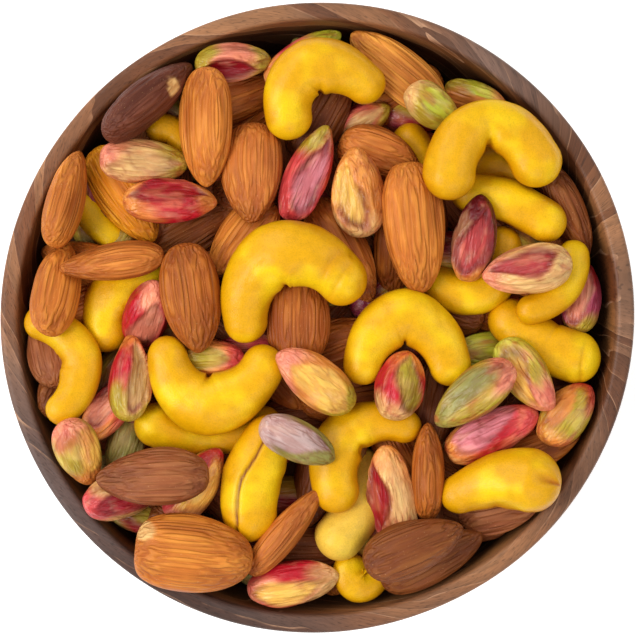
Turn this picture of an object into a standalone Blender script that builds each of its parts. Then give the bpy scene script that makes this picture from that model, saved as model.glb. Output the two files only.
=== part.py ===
"""A round wooden bowl filled with mixed nuts: almonds, roasted cashews and pistachio kernels.

The bowl is one thick-walled turned piece, slightly out of round. The nuts are one heap: a core
that fills the bowl, with every nut that shows fused to it at its true size. Each nut is placed
in plan, and its height and slope are worked out from what lies under it.

All sizes below are in millimetres and all angles in degrees. The scene is in metres, with +Z up.
"""

import math
from typing import NamedTuple

import bmesh
import bpy
import numpy as np

MM = 0.001

# Bowl
BOWL_RADIUS = 66.0
BOWL_HEIGHT = 50.0
FOOT_RADIUS = 37.0
FOOT_CHAMFER = 1.2
RIM_WIDTH = 3.8
RIM_ROUNDING = 1.1
FLOOR_THICKNESS = 6.0
FLOOR_RADIUS = 33.0
WALL_STRAIGHT_SHARE = 0.28
WALL_BELLY = 2.2
OUT_OF_ROUND = 0.005
LONG_AXIS_TURN = 30.0
BOWL_SIDES = 60
WALL_STEPS = 7
ROUNDING_STEPS = 3

# Heap of nuts
CLEARANCE = 0.75
HEAP_EDGE_BELOW_RIM = 5.0
HEAP_CROWN = 5.5
LAYER_RISE = 0.6
CORE_BELOW_NUTS = 1.0
CORE_SIDES = 28
CORE_RINGS = 8
CORE_BLUR = 5.0
NUT_SIDES = 8
FACET_SWELL = 1.04

# Settling of the nuts
GRID_STEP = 1.5
SETTLE_STEPS = 400
SETTLE_RATE = 0.5
LEVEL_SPRING = 0.03
SLOPE_SPRING = 0.06
STEEPEST_SLOPE = 0.4

# Nut proportions
ALMOND_THICKNESS = 0.66
ALMOND_RINGS = 6
ALMOND_BLUNTNESS = (0.42, 0.6)
PISTACHIO_THICKNESS = 0.88
PISTACHIO_RINGS = 5
PISTACHIO_BLUNTNESS = (0.45, 0.6)
CASHEW_RINGS = 9
CASHEW_FLATNESS = 0.82
CASHEW_SHARPNESS = 0.5
CASHEW_FILL = 0.35

# Each row is x and y of the middle, heading of the tip, length, width, roll about the length,
# pitch of the tip, and layer, where a higher layer lies over a lower one.
ALMONDS = (
    (-35.0, 45.0, 41, 24.5, 12.5, 72, 0, 3),
    (-23.0, 39.5, -90, 25.0, 12.5, 30, 0, 4),
    (-13.5, 30.0, -90, 21.5, 13.5, 5, 0, 3),
    (-53.0, 25.0, 75, 21.0, 12.0, 75, 0, 2),
    (-40.5, 25.5, -57, 23.5, 12.5, 35, 0, 1),
    (-16.0, 46.5, 20, 22.5, 11.5, 0, 0, 0),
    (17.0, 53.0, 140, 24.5, 11.0, 0, 0, 3),
    (1.0, 42.5, 60, 21.5, 11.0, 0, 0, 0),
    (13.0, 33.5, -20, 18.0, 12.5, 0, 0, 1),
    (20.0, 18.5, -83, 27.5, 13.5, 0, 0, 3),
    (5.5, 14.0, -62, 24.5, 12.0, 10, 0, 1),
    (52.0, 22.0, -65, 21.5, 11.5, 55, 0, 1),
    (-54.0, 6.0, 80, 21.0, 11.5, 40, 0, 1),
    (-42.5, 11.5, 188, 22.0, 11.5, 65, 0, 3),
    (-26.0, 4.0, -82, 23.0, 13.0, 0, 0, 3),
    (-26.0, 18.0, 30, 22.5, 12.0, 0, 0, 0),
    (-15.5, 16.5, 232, 20.5, 11.0, 25, 0, 1),
    (-56.0, -7.0, 100, 16.5, 11.0, 0, 0, -1),
    (-53.5, -13.5, 60, 18.5, 10.5, 20, 0, -2),
    (-4.0, 1.0, 90, 22.5, 14.0, 0, 0, 1),
    (3.5, -6.0, 20, 21.0, 12.0, 0, 0, 0),
    (-3.5, -18.0, 60, 21.5, 12.0, 0, 0, -1),
    (24.5, -17.0, 80, 21.0, 11.0, 0, 0, 0),
    (-34.0, -33.0, 182, 23.5, 12.5, 15, 0, 11),
    (-25.5, -49.0, -6, 24.5, 16.5, 0, 0, 5),
    (-6.5, -44.5, 50, 23.5, 10.5, 88, 0, 2),
    (23.0, -32.0, 90, 20.5, 11.0, 88, 0, 2),
    (20.0, -47.5, 22, 22.0, 11.5, 0, 0, 6),
    (24.5, -51.5, 26, 23.5, 10.5, 20, 0, 5),
    (-1.5, -48.5, 0, 21.0, 11.5, 0, 0, -1),
    (46.5, -27.0, 20, 21.0, 11.5, 0, 0, 0),
    (39.0, -41.0, 12, 18.0, 10.5, 10, 0, 4),
)

PISTACHIOS = (
    (-36.0, 32.5, -3, 18.5, 9.5, 0, 0, 2),
    (-30.5, 24.0, 0, 20.0, 9.0, 0, 0, 2),
    (-18.0, 54.5, 5, 16.0, 8.5, 30, 0, 3),
    (-3.0, 55.5, 33, 19.0, 8.0, 0, 0, 2),
    (24.0, 43.5, -35, 13.5, 9.0, 0, 0, 4),
    (33.5, 46.5, -18, 14.0, 7.0, 0, 0, 1),
    (9.5, 41.0, 30, 13.5, 7.5, 0, 0, 0),
    (8.5, 26.0, 95, 19.0, 11.5, 0, 0, 2),
    (-2.0, 30.0, 67, 21.5, 10.0, 0, 0, 2),
    (32.5, 16.5, 80, 18.5, 9.5, 0, 0, 3),
    (-35.5, 1.0, 80, 16.5, 10.0, 0, 35, 2),
    (-39.0, -12.5, 88, 18.5, 9.0, 0, 0, 2),
    (-43.5, -19.0, 50, 16.5, 8.5, 0, 0, 1),
    (-22.0, -8.5, 0, 14.5, 8.5, 0, 0, 1),
    (-14.0, -5.0, 0, 15.0, 8.0, 0, 0, 0),
    (-49.5, -28.0, -70, 15.5, 9.5, 0, 0, 1),
    (-40.0, -25.5, 75, 15.5, 8.5, 0, 0, 0),
    (-0.5, -13.0, 143, 20.0, 10.5, 0, 0, 2),
    (-4.0, -25.5, -27, 17.5, 8.5, 0, 0, 3),
    (17.0, -14.0, 75, 15.0, 10.5, 0, 0, 2),
    (43.5, 10.0, 190, 19.0, 10.5, 45, 0, 4),
    (55.5, 4.0, 80, 15.0, 8.5, 0, 0, 1),
    (43.5, -12.0, -52, 18.0, 9.5, 0, 0, 2),
    (36.0, -7.0, 10, 16.0, 8.5, 0, 0, 0),
    (32.5, -16.0, 218, 20.5, 10.5, 0, 0, 3),
    (36.5, -24.0, 25, 21.0, 10.0, 0, 0, 2),
    (52.0, -20.0, 50, 16.0, 9.5, 0, 0, 1),
    (-42.0, -38.5, 15, 17.5, 10.0, -20, -10, 9),
    (-25.5, -35.0, 55, 19.0, 10.5, 0, 0, 4),
    (15.5, -36.5, 99, 20.5, 10.0, -35, 0, 3),
    (-5.0, -55.5, 10, 19.5, 9.5, 0, 0, 2),
)

# Each row is the first, middle and last plan point of the curved middle line, the thickness at
# each of those points, and the layer.
CASHEWS = (
    ((-6.0, 41.5), (-2.5, 51.5), (10.0, 48.5), 9.5, 11.5, 8.5, 4),
    ((27.0, 29.5), (34.5, 40.5), (45.5, 32.5), 11.0, 9.5, 11.0, 5),
    ((19.5, 37.0), (21.0, 35.0), (22.0, 31.5), 7.5, 7.5, 7.0, 0),
    ((32.0, 26.0), (40.0, 24.0), (47.5, 20.0), 8.5, 10.0, 9.0, 2),
    ((-44.0, -2.5), (-43.0, 4.5), (-35.0, 8.5), 9.5, 10.5, 9.5, 1),
    ((-57.5, -1.0), (-49.0, -8.0), (-53.0, -19.0), 7.0, 8.5, 7.0, 0),
    ((-31.0, -8.0), (-24.5, -18.0), (-11.5, -10.5), 8.5, 12.5, 10.0, 2),
    ((-15.0, -1.0), (-9.0, 13.0), (5.0, 8.0), 9.0, 13.5, 11.0, 3),
    ((-33.5, -22.5), (-22.5, -25.5), (-11.5, -22.5), 9.5, 6.0, 8.5, 1),
    ((9.5, -10.0), (17.5, 0.5), (27.5, -9.5), 8.0, 12.0, 9.5, 2),
    ((18.0, -22.5), (6.0, -24.0), (4.0, -36.0), 7.5, 10.5, 9.5, 1),
    ((26.0, 6.5), (34.5, 5.5), (38.5, 15.0), 8.5, 9.5, 8.5, 1),
    ((53.5, 13.0), (52.0, 6.5), (44.5, 1.5), 6.5, 7.0, 6.5, 2),
    ((40.5, -1.0), (47.0, -5.5), (54.0, -8.5), 10.0, 11.0, 10.5, 1),
    ((-10.0, -25.0), (-13.5, -34.0), (-14.0, -41.0), 10.0, 13.5, 11.5, 2),
    ((10.5, -31.5), (8.5, -39.5), (4.5, -46.0), 9.0, 11.5, 10.5, 0),
    ((7.0, -53.5), (8.5, -56.5), (12.0, -55.5), 7.0, 7.5, 6.0, 4),
    ((29.5, -36.5), (37.5, -34.0), (44.0, -34.0), 8.5, 11.5, 13.5, 5),
    ((34.0, 28.0), (37.0, 32.0), (41.0, 30.0), 7.5, 8.5, 7.5, 1),
    ((-49.0, 23.5), (-46.5, 20.5), (-43.0, 17.0), 7.0, 7.5, 7.0, 0),
    ((-33.0, 39.5), (-30.5, 39.0), (-28.0, 36.5), 6.0, 6.0, 6.0, 0),
)


class Nut(NamedTuple):
    """A nut about its middle: rings of points along it, end points, balls that fill it, and its layer."""

    middle: np.ndarray
    rings: np.ndarray
    ends: np.ndarray
    balls: np.ndarray
    layer: int


def flare(share):
    """Share of the full spread that the wall has reached at this share of its height."""
    return WALL_STRAIGHT_SHARE * share + (1 - WALL_STRAIGHT_SHARE) * (1 - (1 - share) ** WALL_BELLY)


def outer_radius(z):
    """Radius of the bowl's outside at a height."""
    return FOOT_RADIUS + (BOWL_RADIUS - FOOT_RADIUS) * flare(z / BOWL_HEIGHT)


def inner_radius(z):
    """Radius of the bowl's inside at a height."""
    share = (z - FLOOR_THICKNESS) / (BOWL_HEIGHT - FLOOR_THICKNESS)
    return FLOOR_RADIUS + (BOWL_RADIUS - RIM_WIDTH - FLOOR_RADIUS) * flare(share)


def roundness(x, y):
    """How far the bowl reaches in this direction, as a share of its plain radius."""
    return 1 + OUT_OF_ROUND * np.cos(2 * (np.arctan2(y, x) - math.radians(LONG_AXIS_TURN)))


def bowl_surface(radius):
    """Height of the bowl's upper surface at a radius: the floor, the wall, then the rim."""
    z = np.linspace(FLOOR_THICKNESS, BOWL_HEIGHT, 60)
    return np.interp(radius, inner_radius(z), z)


def rotation(heading, pitch=0.0, roll=0.0):
    """Matrix that rolls about X, lifts the +X end, then turns about Z."""
    h, p, r = (math.radians(angle) for angle in (heading, pitch, roll))
    turn = np.array([[math.cos(h), -math.sin(h), 0], [math.sin(h), math.cos(h), 0], [0, 0, 1]])
    lift = np.array([[math.cos(p), 0, -math.sin(p)], [0, 1, 0], [math.sin(p), 0, math.cos(p)]])
    spin = np.array([[1, 0, 0], [0, math.cos(r), -math.sin(r)], [0, math.sin(r), math.cos(r)]])
    return turn @ lift @ spin


def kernel(row, thickness, bluntness, ring_count):
    """A straight nut: its half-width goes as u to one power times (1 - u) to another along it."""
    x, y, heading, length, width, roll, pitch, layer = row
    start, tip = bluntness
    peak = (start / (start + tip)) ** start * (tip / (start + tip)) ** tip

    def half(u):
        return width / 2 * u**start * (1 - u) ** tip / peak

    u = (1 - np.cos(np.linspace(0, math.pi, ring_count + 2))) / 2
    angle = np.linspace(0, 2 * math.pi, NUT_SIDES, endpoint=False)
    w = half(u[1:-1])[:, None] * FACET_SWELL
    along = np.broadcast_to(((u[1:-1] - 0.5) * length)[:, None], (ring_count, NUT_SIDES))
    rings = np.stack([along, w * np.cos(angle), w * thickness * np.sin(angle)], axis=2)
    ends = np.array([[-length / 2, 0, 0], [length / 2, 0, 0]])
    at = np.repeat([0.08, 0.25, 0.45, 0.65, 0.85], 3)
    aside = np.tile([-1, 0, 1], 5) * half(at) * (1 - thickness)
    balls = np.stack([(at - 0.5) * length, aside, np.zeros(15)], axis=1)
    turn = rotation(heading, pitch, roll).T
    balls = np.column_stack([balls @ turn, half(at) * thickness])
    return Nut(np.array([x, y]), rings @ turn, ends @ turn, balls, layer)


def curl_spine(first, middle, last):
    """Plan points along a cashew's middle line.

    It is part circular arc through the three points and part parabola through them, whose bend
    is tighter in the middle.
    """
    (ax, ay), (bx, by), (cx, cy) = first, middle, last
    double_area = 2 * (ax * (by - cy) + bx * (cy - ay) + cx * (ay - by))
    a, b, c = (px * px + py * py for px, py in (first, middle, last))
    centre = np.array(
        [
            (a * (by - cy) + b * (cy - ay) + c * (ay - by)) / double_area,
            (a * (cx - bx) + b * (ax - cx) + c * (bx - ax)) / double_area,
        ]
    )
    start, end = (math.atan2(py - centre[1], px - centre[0]) for px, py in (first, last))
    sense = math.copysign(1.0, double_area)
    shares = np.linspace(0, 1, 61)[:, None]
    angles = start + sense * ((sense * (end - start)) % (2 * math.pi)) * shares
    radius = math.hypot(ax - centre[0], ay - centre[1])
    arc = centre + radius * np.concatenate([np.cos(angles), np.sin(angles)], axis=1)
    first, middle, last = (np.array(point) for point in (first, middle, last))
    pull = 2 * middle - (first + last) / 2
    parabola = (1 - shares) ** 2 * first + 2 * shares * (1 - shares) * pull + shares**2 * last
    return arc + CASHEW_SHARPNESS * (parabola - arc)


def inner_fill(share, spine):
    """How much thicker a cashew is towards its inner side: most beside the notch in its middle.

    It grows with the bend, the middle's distance from the chord over the chord.
    """
    chord = spine[-1] - spine[0]
    offset = spine[len(spine) // 2] - (spine[0] + spine[-1]) / 2
    bend = min(1.0, np.linalg.norm(offset) / np.linalg.norm(chord) / 0.4)
    notch = 0.7 * np.exp(-(((share - 0.5) / 0.11) ** 2))
    return CASHEW_FILL * bend * (np.sin(math.pi * share) ** 2 - notch)


def along_spine(spine, at):
    """Points and directions at distances along a line, run on straight beyond its ends."""
    step = np.linalg.norm(np.diff(spine, axis=0), axis=1)
    run = np.concatenate([[0], np.cumsum(step)])
    forward = np.gradient(spine, run, axis=0)
    inside = np.clip(at, 0, run[-1])
    point = np.stack([np.interp(inside, run, spine[:, axis]) for axis in (0, 1)], axis=1)
    direction = np.stack([np.interp(inside, run, forward[:, axis]) for axis in (0, 1)], axis=1)
    direction /= np.linalg.norm(direction, axis=1)[:, None]
    return point + direction * (at - inside)[:, None], direction


def cashew(row):
    """A curved nut: rings across its middle line, with rounded ends beyond its first and last points."""
    first, middle, last, start_size, middle_size, end_size, layer = row
    spine = curl_spine(first, middle, last)
    length = np.linalg.norm(np.diff(spine, axis=0), axis=1).sum()
    sizes = np.array([start_size, middle_size, end_size]) / 2
    plan = (spine[0] + spine[-1] + 2 * spine[len(spine) // 2]) / 4
    cap = math.sin(math.radians(50))
    along = np.linspace(0, length, CASHEW_RINGS - 2)
    s = np.concatenate([[-sizes[0] * cap], along, [length + sizes[2] * cap]])
    share = np.clip(s / length, 0, 1)
    ring_size = np.interp(share, [0, 0.5, 1], sizes)
    ring_size[[0, -1]] *= math.sqrt(1 - cap**2)
    centre, direction = along_spine(spine, s)
    aside = np.stack([-direction[:, 1], direction[:, 0]], axis=1)
    (ax, ay), (bx, by), (cx, cy) = first, middle, last
    inner = math.copysign(1.0, (bx - ax) * (cy - by) - (by - ay) * (cx - bx))
    angle = np.linspace(0, 2 * math.pi, NUT_SIDES, endpoint=False)
    filled = 1 + np.clip(np.cos(angle) * inner, 0, 1) * inner_fill(share, spine)[:, None]
    radial = ring_size[:, None] * FACET_SWELL * filled
    across = radial * np.cos(angle)
    up = radial * np.sin(angle) * CASHEW_FLATNESS
    flat = (centre - plan)[:, None, :] + across[..., None] * aside[:, None, :]
    rings = np.concatenate([flat, up[..., None]], axis=2)
    tips, _ = along_spine(spine, np.array([-sizes[0], length + sizes[2]]))
    ends = np.column_stack([tips - plan, [0, 0]])
    ball_at = np.linspace(0, length, 7)
    ball_size = np.interp(ball_at / length, [0, 0.5, 1], sizes) * CASHEW_FLATNESS
    balls = np.column_stack([along_spine(spine, ball_at)[0] - plan, np.zeros(7), ball_size])
    return Nut(plan, rings, ends, balls, layer)


def span(nut, points):
    """Lowest and highest level of a nut, about its middle, over each plan point."""
    away = points[:, None] - (nut.middle + nut.balls[:, :2])[None]
    rise = np.sqrt(np.maximum(nut.balls[:, 3] ** 2 - (away**2).sum(axis=2), 0))
    top = np.where(rise > 0, nut.balls[:, 2] + rise, -np.inf).max(axis=1)
    bottom = np.where(rise > 0, nut.balls[:, 2] - rise, np.inf).min(axis=1)
    return bottom, top


def contacts(nuts):
    """Plan points where one nut lies over another or over the bowl, with the rise needed there."""
    side = np.arange(-BOWL_RADIUS, BOWL_RADIUS + GRID_STEP, GRID_STEP)
    points = np.stack(np.meshgrid(side, side), axis=2).reshape(-1, 2)
    ground = bowl_surface(np.hypot(points[:, 0], points[:, 1]))
    spans = [span(nut, points) for nut in nuts]
    upper, lower, where, need = [], [], [], []
    for i, (bottom, _) in enumerate(spans):
        for j in range(len(nuts) + 1):
            if j < len(nuts) and nuts[i].layer <= nuts[j].layer:
                continue
            below = ground if j == len(nuts) else spans[j][1]
            both = np.flatnonzero(np.isfinite(bottom) & np.isfinite(below))
            upper.append(np.full(len(both), i))
            lower.append(np.full(len(both), j))
            where.append(points[both])
            need.append(below[both] - bottom[both])
    return np.concatenate(upper), np.concatenate(lower), np.concatenate(where), np.concatenate(need)


def settle(nuts):
    """Level and slope of each nut, eased until each one rests on what lies under it."""
    upper, lower, where, need = contacts(nuts)
    count = len(nuts) + 1
    middle = np.array([nut.middle for nut in nuts] + [[0.0, 0.0]])
    layer = np.array([nut.layer for nut in nuts] + [0])
    share = np.hypot(middle[:, 0], middle[:, 1]) / BOWL_RADIUS
    home = BOWL_HEIGHT - HEAP_EDGE_BELOW_RIM + HEAP_CROWN * (1 - share**2) + LAYER_RISE * (layer - 1)
    home[-1] = 0.0
    level, slope = home.copy(), np.zeros((count, 2))
    from_upper, from_lower = where - middle[upper], where - middle[lower]
    both = np.concatenate([upper, lower])
    for _ in range(SETTLE_STEPS):
        gap = level[upper] + (slope[upper] * from_upper).sum(axis=1) - need
        gap -= level[lower] + (slope[lower] * from_lower).sum(axis=1)
        push = np.maximum(-gap, 0)
        signed = np.concatenate([push, -push])
        arm = np.concatenate([from_upper, from_lower])
        active = np.concatenate([push, push]) > 0
        held = np.bincount(both, active, count) + 1
        level += SETTLE_RATE * np.bincount(both, signed, count) / held
        reach = np.bincount(both, active * (arm**2).sum(axis=1), count) + 40
        for axis in (0, 1):
            slope[:, axis] += SETTLE_RATE * np.bincount(both, signed * arm[:, axis], count) / reach
        level += LEVEL_SPRING * (home - level)
        slope = np.clip(slope * (1 - SLOPE_SPRING), -STEEPEST_SLOPE, STEEPEST_SLOPE)
        level[-1] = 0.0
        slope[-1] = 0.0
    return level[:-1], slope[:-1]


def tilt(slope):
    """Matrix that leans a level nut to this slope without turning it."""
    normal = np.array([-slope[0], -slope[1], 1.0])
    normal /= np.linalg.norm(normal)
    x, y, z = normal
    return np.array(
        [
            [1 - x * x / (1 + z), -x * y / (1 + z), x],
            [-x * y / (1 + z), 1 - y * y / (1 + z), y],
            [-x, -y, z],
        ]
    )


def clear_of_bowl(points):
    """Smallest move, up or inwards, that takes these points clear of the bowl."""
    radius = np.hypot(points[:, 0], points[:, 1]) / roundness(points[:, 0], points[:, 1])
    low = points[:, 2] < BOWL_HEIGHT + CLEARANCE
    if not low.any():
        return np.zeros(3)
    z = np.clip(points[low, 2], FLOOR_THICKNESS, BOWL_HEIGHT)
    inwards = (radius[low] - inner_radius(z) + CLEARANCE).max()
    if inwards <= 0:
        return np.zeros(3)
    over = radius > BOWL_RADIUS - RIM_WIDTH - CLEARANCE
    upwards = (BOWL_HEIGHT + CLEARANCE - points[over, 2]).max() if over.any() else np.inf
    if upwards < inwards:
        return np.array([0.0, 0.0, upwards])
    middle = points[:, :2].mean(axis=0)
    return np.append(-middle / np.linalg.norm(middle) * inwards, 0.0)


def placed(nut, level, slope):
    """The rings, end points and filling balls of a nut where it lies."""
    lean = tilt(slope).T
    at = np.append(nut.middle, level)
    rings, ends, balls = (points @ lean + at for points in (nut.rings, nut.ends, nut.balls[:, :3]))
    for _ in range(3):
        move = clear_of_bowl(np.concatenate([rings.reshape(-1, 3), ends]))
        rings, ends, balls = rings + move, ends + move, balls + move
    return rings, ends, balls


def shell(rings, ends):
    """Points and faces of the closed surface through the rings, from one end point to the other."""
    count, sides = rings.shape[:2]
    points = np.concatenate([rings.reshape(-1, 3), ends])
    first, last = count * sides, count * sides + 1
    column = np.arange(sides)
    following = (column + 1) % sides
    faces = [
        (row * sides + a, row * sides + b, (row + 1) * sides + b, (row + 1) * sides + a)
        for row in range(count - 1)
        for a, b in zip(column, following)
    ]
    faces += [(first, b, a) for a, b in zip(column, following)]
    faces += [(last, (count - 1) * sides + a, (count - 1) * sides + b) for a, b in zip(column, following)]
    return points, faces


def turned(profile, sides):
    """Rings about Z through a profile of (radius, height), slightly longer along the long axis."""
    angle = np.linspace(0, 2 * math.pi, sides, endpoint=False)
    radius = profile[:, :1] * roundness(np.cos(angle), np.sin(angle))
    height = np.broadcast_to(profile[:, 1:], radius.shape)
    return np.stack([radius * np.cos(angle), radius * np.sin(angle), height], axis=2)


def add_object(name, points, faces, collection):
    """A mesh object, its points given in millimetres, with every face turned outwards."""
    mesh = bpy.data.meshes.new(name)
    mesh.from_pydata((np.asarray(points) * MM).tolist(), [], [tuple(map(int, face)) for face in faces])
    work = bmesh.new()
    work.from_mesh(mesh)
    bmesh.ops.recalc_face_normals(work, faces=work.faces)
    work.to_mesh(mesh)
    work.free()
    obj = bpy.data.objects.new(name, mesh)
    collection.objects.link(obj)
    return obj


def bowl_profile():
    """Radius and height from the middle of the foot, up the outside, over the rim and down inside."""
    side = np.linspace(0.03, 1, WALL_STEPS + 1) * (BOWL_HEIGHT - RIM_ROUNDING)
    outside = [(outer_radius(z), z) for z in side]
    quarter = np.linspace(0, math.pi / 2, ROUNDING_STEPS + 1)
    top = BOWL_HEIGHT - RIM_ROUNDING
    outer_edge = outer_radius(top) - RIM_ROUNDING
    inner_edge = inner_radius(top) + RIM_ROUNDING
    rim = [(outer_edge + RIM_ROUNDING * math.cos(a), top + RIM_ROUNDING * math.sin(a)) for a in quarter[1:]]
    rim += [
        (inner_edge - RIM_ROUNDING * math.sin(a), top + RIM_ROUNDING * math.cos(a))
        for a in quarter[:-1]
    ]
    down = np.linspace(1, 0, WALL_STEPS + 1) * (top - FLOOR_THICKNESS) + FLOOR_THICKNESS
    inside = [(inner_radius(z), z) for z in down]
    foot = [(FOOT_RADIUS - FOOT_CHAMFER, 0.0)]
    return np.array(foot + outside + rim + inside)


def build_bowl(collection):
    """The bowl: one closed turned wall with a flat foot."""
    rings = turned(bowl_profile(), BOWL_SIDES)
    points, faces = shell(rings, np.array([[0, 0, 0], [0, 0, FLOOR_THICKNESS]]))
    return add_object("bowl", points, faces, collection)


def core_top(plan, spines):
    """Level of the core at plan points: the blurred level of the nuts near by, less a little."""
    apart = ((plan[..., None, :] - spines[:, :2]) ** 2).sum(axis=-1)
    weight = np.exp(-apart / (2 * CORE_BLUR**2)) + 1e-9
    return (weight * spines[:, 2]).sum(axis=-1) / weight.sum(axis=-1) - CORE_BELOW_NUTS


def build_core(spines, collection):
    """The inside of the heap: it follows the bowl's wall, and its top carries the nuts."""
    edge = BOWL_HEIGHT - HEAP_EDGE_BELOW_RIM - 3.0
    low = FLOOR_THICKNESS + CLEARANCE
    wall = [(inner_radius(z) - 3 * CLEARANCE, z) for z in np.linspace(low, edge, 5)]
    rings = turned(np.array(wall), CORE_SIDES)
    inwards = np.linspace(0.96, 0.12, CORE_RINGS) * wall[-1][0]
    top = turned(np.column_stack([inwards, np.zeros(CORE_RINGS)]), CORE_SIDES)
    top[..., 2] = core_top(top[..., :2], spines)
    peak = np.array([0.0, 0.0, float(core_top(np.zeros((1, 2)), spines)[0])])
    points, faces = shell(np.concatenate([rings, top]), np.array([[0, 0, low], peak]))
    return add_object("nut_heap", points, faces, collection)


def keep_main_shell(mesh):
    """Drop every loose piece and sealed hollow, so that one closed body is left."""
    work = bmesh.new()
    work.from_mesh(mesh)
    left, shells = set(work.verts), []
    while left:
        group, edge = set(), [left.pop()]
        while edge:
            vert = edge.pop()
            group.add(vert)
            for link in vert.link_edges:
                other = link.other_vert(vert)
                if other in left:
                    left.remove(other)
                    edge.append(other)
        shells.append(group)
    shells.sort(key=len, reverse=True)
    bmesh.ops.delete(work, geom=[vert for group in shells[1:] for vert in group], context="VERTS")
    work.to_mesh(mesh)
    work.free()


def build_heap(collection):
    """The core and the nuts, joined into one body."""
    nuts = [kernel(row, ALMOND_THICKNESS, ALMOND_BLUNTNESS, ALMOND_RINGS) for row in ALMONDS]
    nuts += [kernel(row, PISTACHIO_THICKNESS, PISTACHIO_BLUNTNESS, PISTACHIO_RINGS) for row in PISTACHIOS]
    nuts += [cashew(row) for row in CASHEWS]
    levels, slopes = settle(nuts)
    lying = [placed(*each) for each in zip(nuts, levels, slopes)]
    heap = build_core(np.concatenate([balls for _, _, balls in lying]), collection)
    loose = bpy.data.collections.new("nuts_to_join")
    bpy.context.scene.collection.children.link(loose)
    for number, (rings, ends, _) in enumerate(lying):
        add_object(f"nut_{number}", *shell(rings, ends), loose)
    join = heap.modifiers.new("join", "BOOLEAN")
    join.operation = "UNION"
    join.operand_type = "COLLECTION"
    join.collection = loose
    join.solver = "MANIFOLD"
    graph = bpy.context.evaluated_depsgraph_get()
    joined = bpy.data.meshes.new_from_object(heap.evaluated_get(graph))
    heap.modifiers.clear()
    heap.data = joined
    for obj in list(loose.objects):
        bpy.data.objects.remove(obj)
    bpy.data.collections.remove(loose)
    keep_main_shell(joined)
    return heap


def material(name, colour, roughness):
    """A plain Principled material."""
    made = bpy.data.materials.new(name)
    made.use_nodes = True
    shader = made.node_tree.nodes["Principled BSDF"]
    shader.inputs["Base Color"].default_value = (*colour, 1.0)
    shader.inputs["Roughness"].default_value = roughness
    return made


def main():
    """Clear the scene, then build the bowl and the heap in it."""
    for obj in list(bpy.data.objects):
        bpy.data.objects.remove(obj)
    collection = bpy.data.collections.new("bowl_of_mixed_nuts")
    bpy.context.scene.collection.children.link(collection)
    bowl = build_bowl(collection)
    bowl.data.materials.append(material("oiled walnut", (0.22, 0.12, 0.08), 0.5))
    heap = build_heap(collection)
    heap.data.materials.clear()
    heap.data.materials.append(material("mixed nuts", (0.55, 0.27, 0.08), 0.45))


main()
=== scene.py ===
"""The looks of a wooden bowl heaped with almonds, turmeric-yellow cashews and pistachio kernels.

Lengths are in millimetres and angles in degrees, save where a name or a comment says otherwise.
Each nut has its place in plan and its layer; the level and slope at which it lies are worked out
from what is under it. The scene is seen from straight above, on a pale table in soft light.
"""

import logging
import math
from dataclasses import dataclass, field
from enum import Enum

import bpy
import numpy as np
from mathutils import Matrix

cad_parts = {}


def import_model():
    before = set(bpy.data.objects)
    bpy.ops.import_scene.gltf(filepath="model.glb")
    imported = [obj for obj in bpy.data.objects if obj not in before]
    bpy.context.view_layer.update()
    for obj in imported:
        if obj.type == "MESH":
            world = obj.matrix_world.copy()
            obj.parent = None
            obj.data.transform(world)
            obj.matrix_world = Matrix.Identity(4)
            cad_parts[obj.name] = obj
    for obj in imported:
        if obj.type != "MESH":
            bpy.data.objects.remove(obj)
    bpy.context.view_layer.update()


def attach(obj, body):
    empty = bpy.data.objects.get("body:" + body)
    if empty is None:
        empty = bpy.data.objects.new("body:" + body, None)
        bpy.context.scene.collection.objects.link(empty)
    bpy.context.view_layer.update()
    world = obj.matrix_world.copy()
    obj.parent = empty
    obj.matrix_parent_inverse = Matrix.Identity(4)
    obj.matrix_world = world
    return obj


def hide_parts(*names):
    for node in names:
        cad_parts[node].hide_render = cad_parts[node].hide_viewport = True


LOG = logging.getLogger("mixed_nuts")

MM = 0.001
SEED = 11
# How far on in the materials' patterns the next nut is, so that no two look alike.
PATTERN_STEP = 40.0
# How far each filler nut's place is turned from the last one's, in radians.
GOLDEN_ANGLE = 2.39996
# How far a cashew's middle line goes from an arc to a parabola, and how much thicker it is
# towards its inner side, as a share of its half thickness.
CASHEW_SHARPNESS = 0.5
CASHEW_FILL = 0.35
SPINE_POINTS = 61

Tree = bpy.types.NodeTree
Socket = bpy.types.NodeSocket
Triple = tuple[float, float, float]
Stops = tuple[tuple[float, float], tuple[float, float]]


class Skin(Enum):
    """Colours of almond skin, from roasted dark to nearly golden."""

    COCOA = "#663020"
    UMBER = "#7d3f18"
    RUSSET = "#a9581c"
    CHESTNUT = "#92502f"
    HAZEL = "#bf692a"
    TAN = "#cb732b"
    GOLDEN = "#df8c3a"
    AMBER = "#f0921c"


class Hue(Enum):
    """Colours seen on peeled and half-peeled pistachio kernels."""

    CREAM = "#d3a868"
    HONEY = "#f3bd52"
    APRICOT = "#d2863c"
    PINK = "#dc7f88"
    BLUSH = "#d58064"
    ROSE = "#c94545"
    CRIMSON = "#ac1324"
    MAROON = "#86181c"
    WINE = "#5a0d16"
    PLUM = "#9a3a52"
    LILAC = "#b2958f"
    SAGE = "#867f3f"
    OLIVE = "#a89228"
    LIME = "#adb02c"


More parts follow.
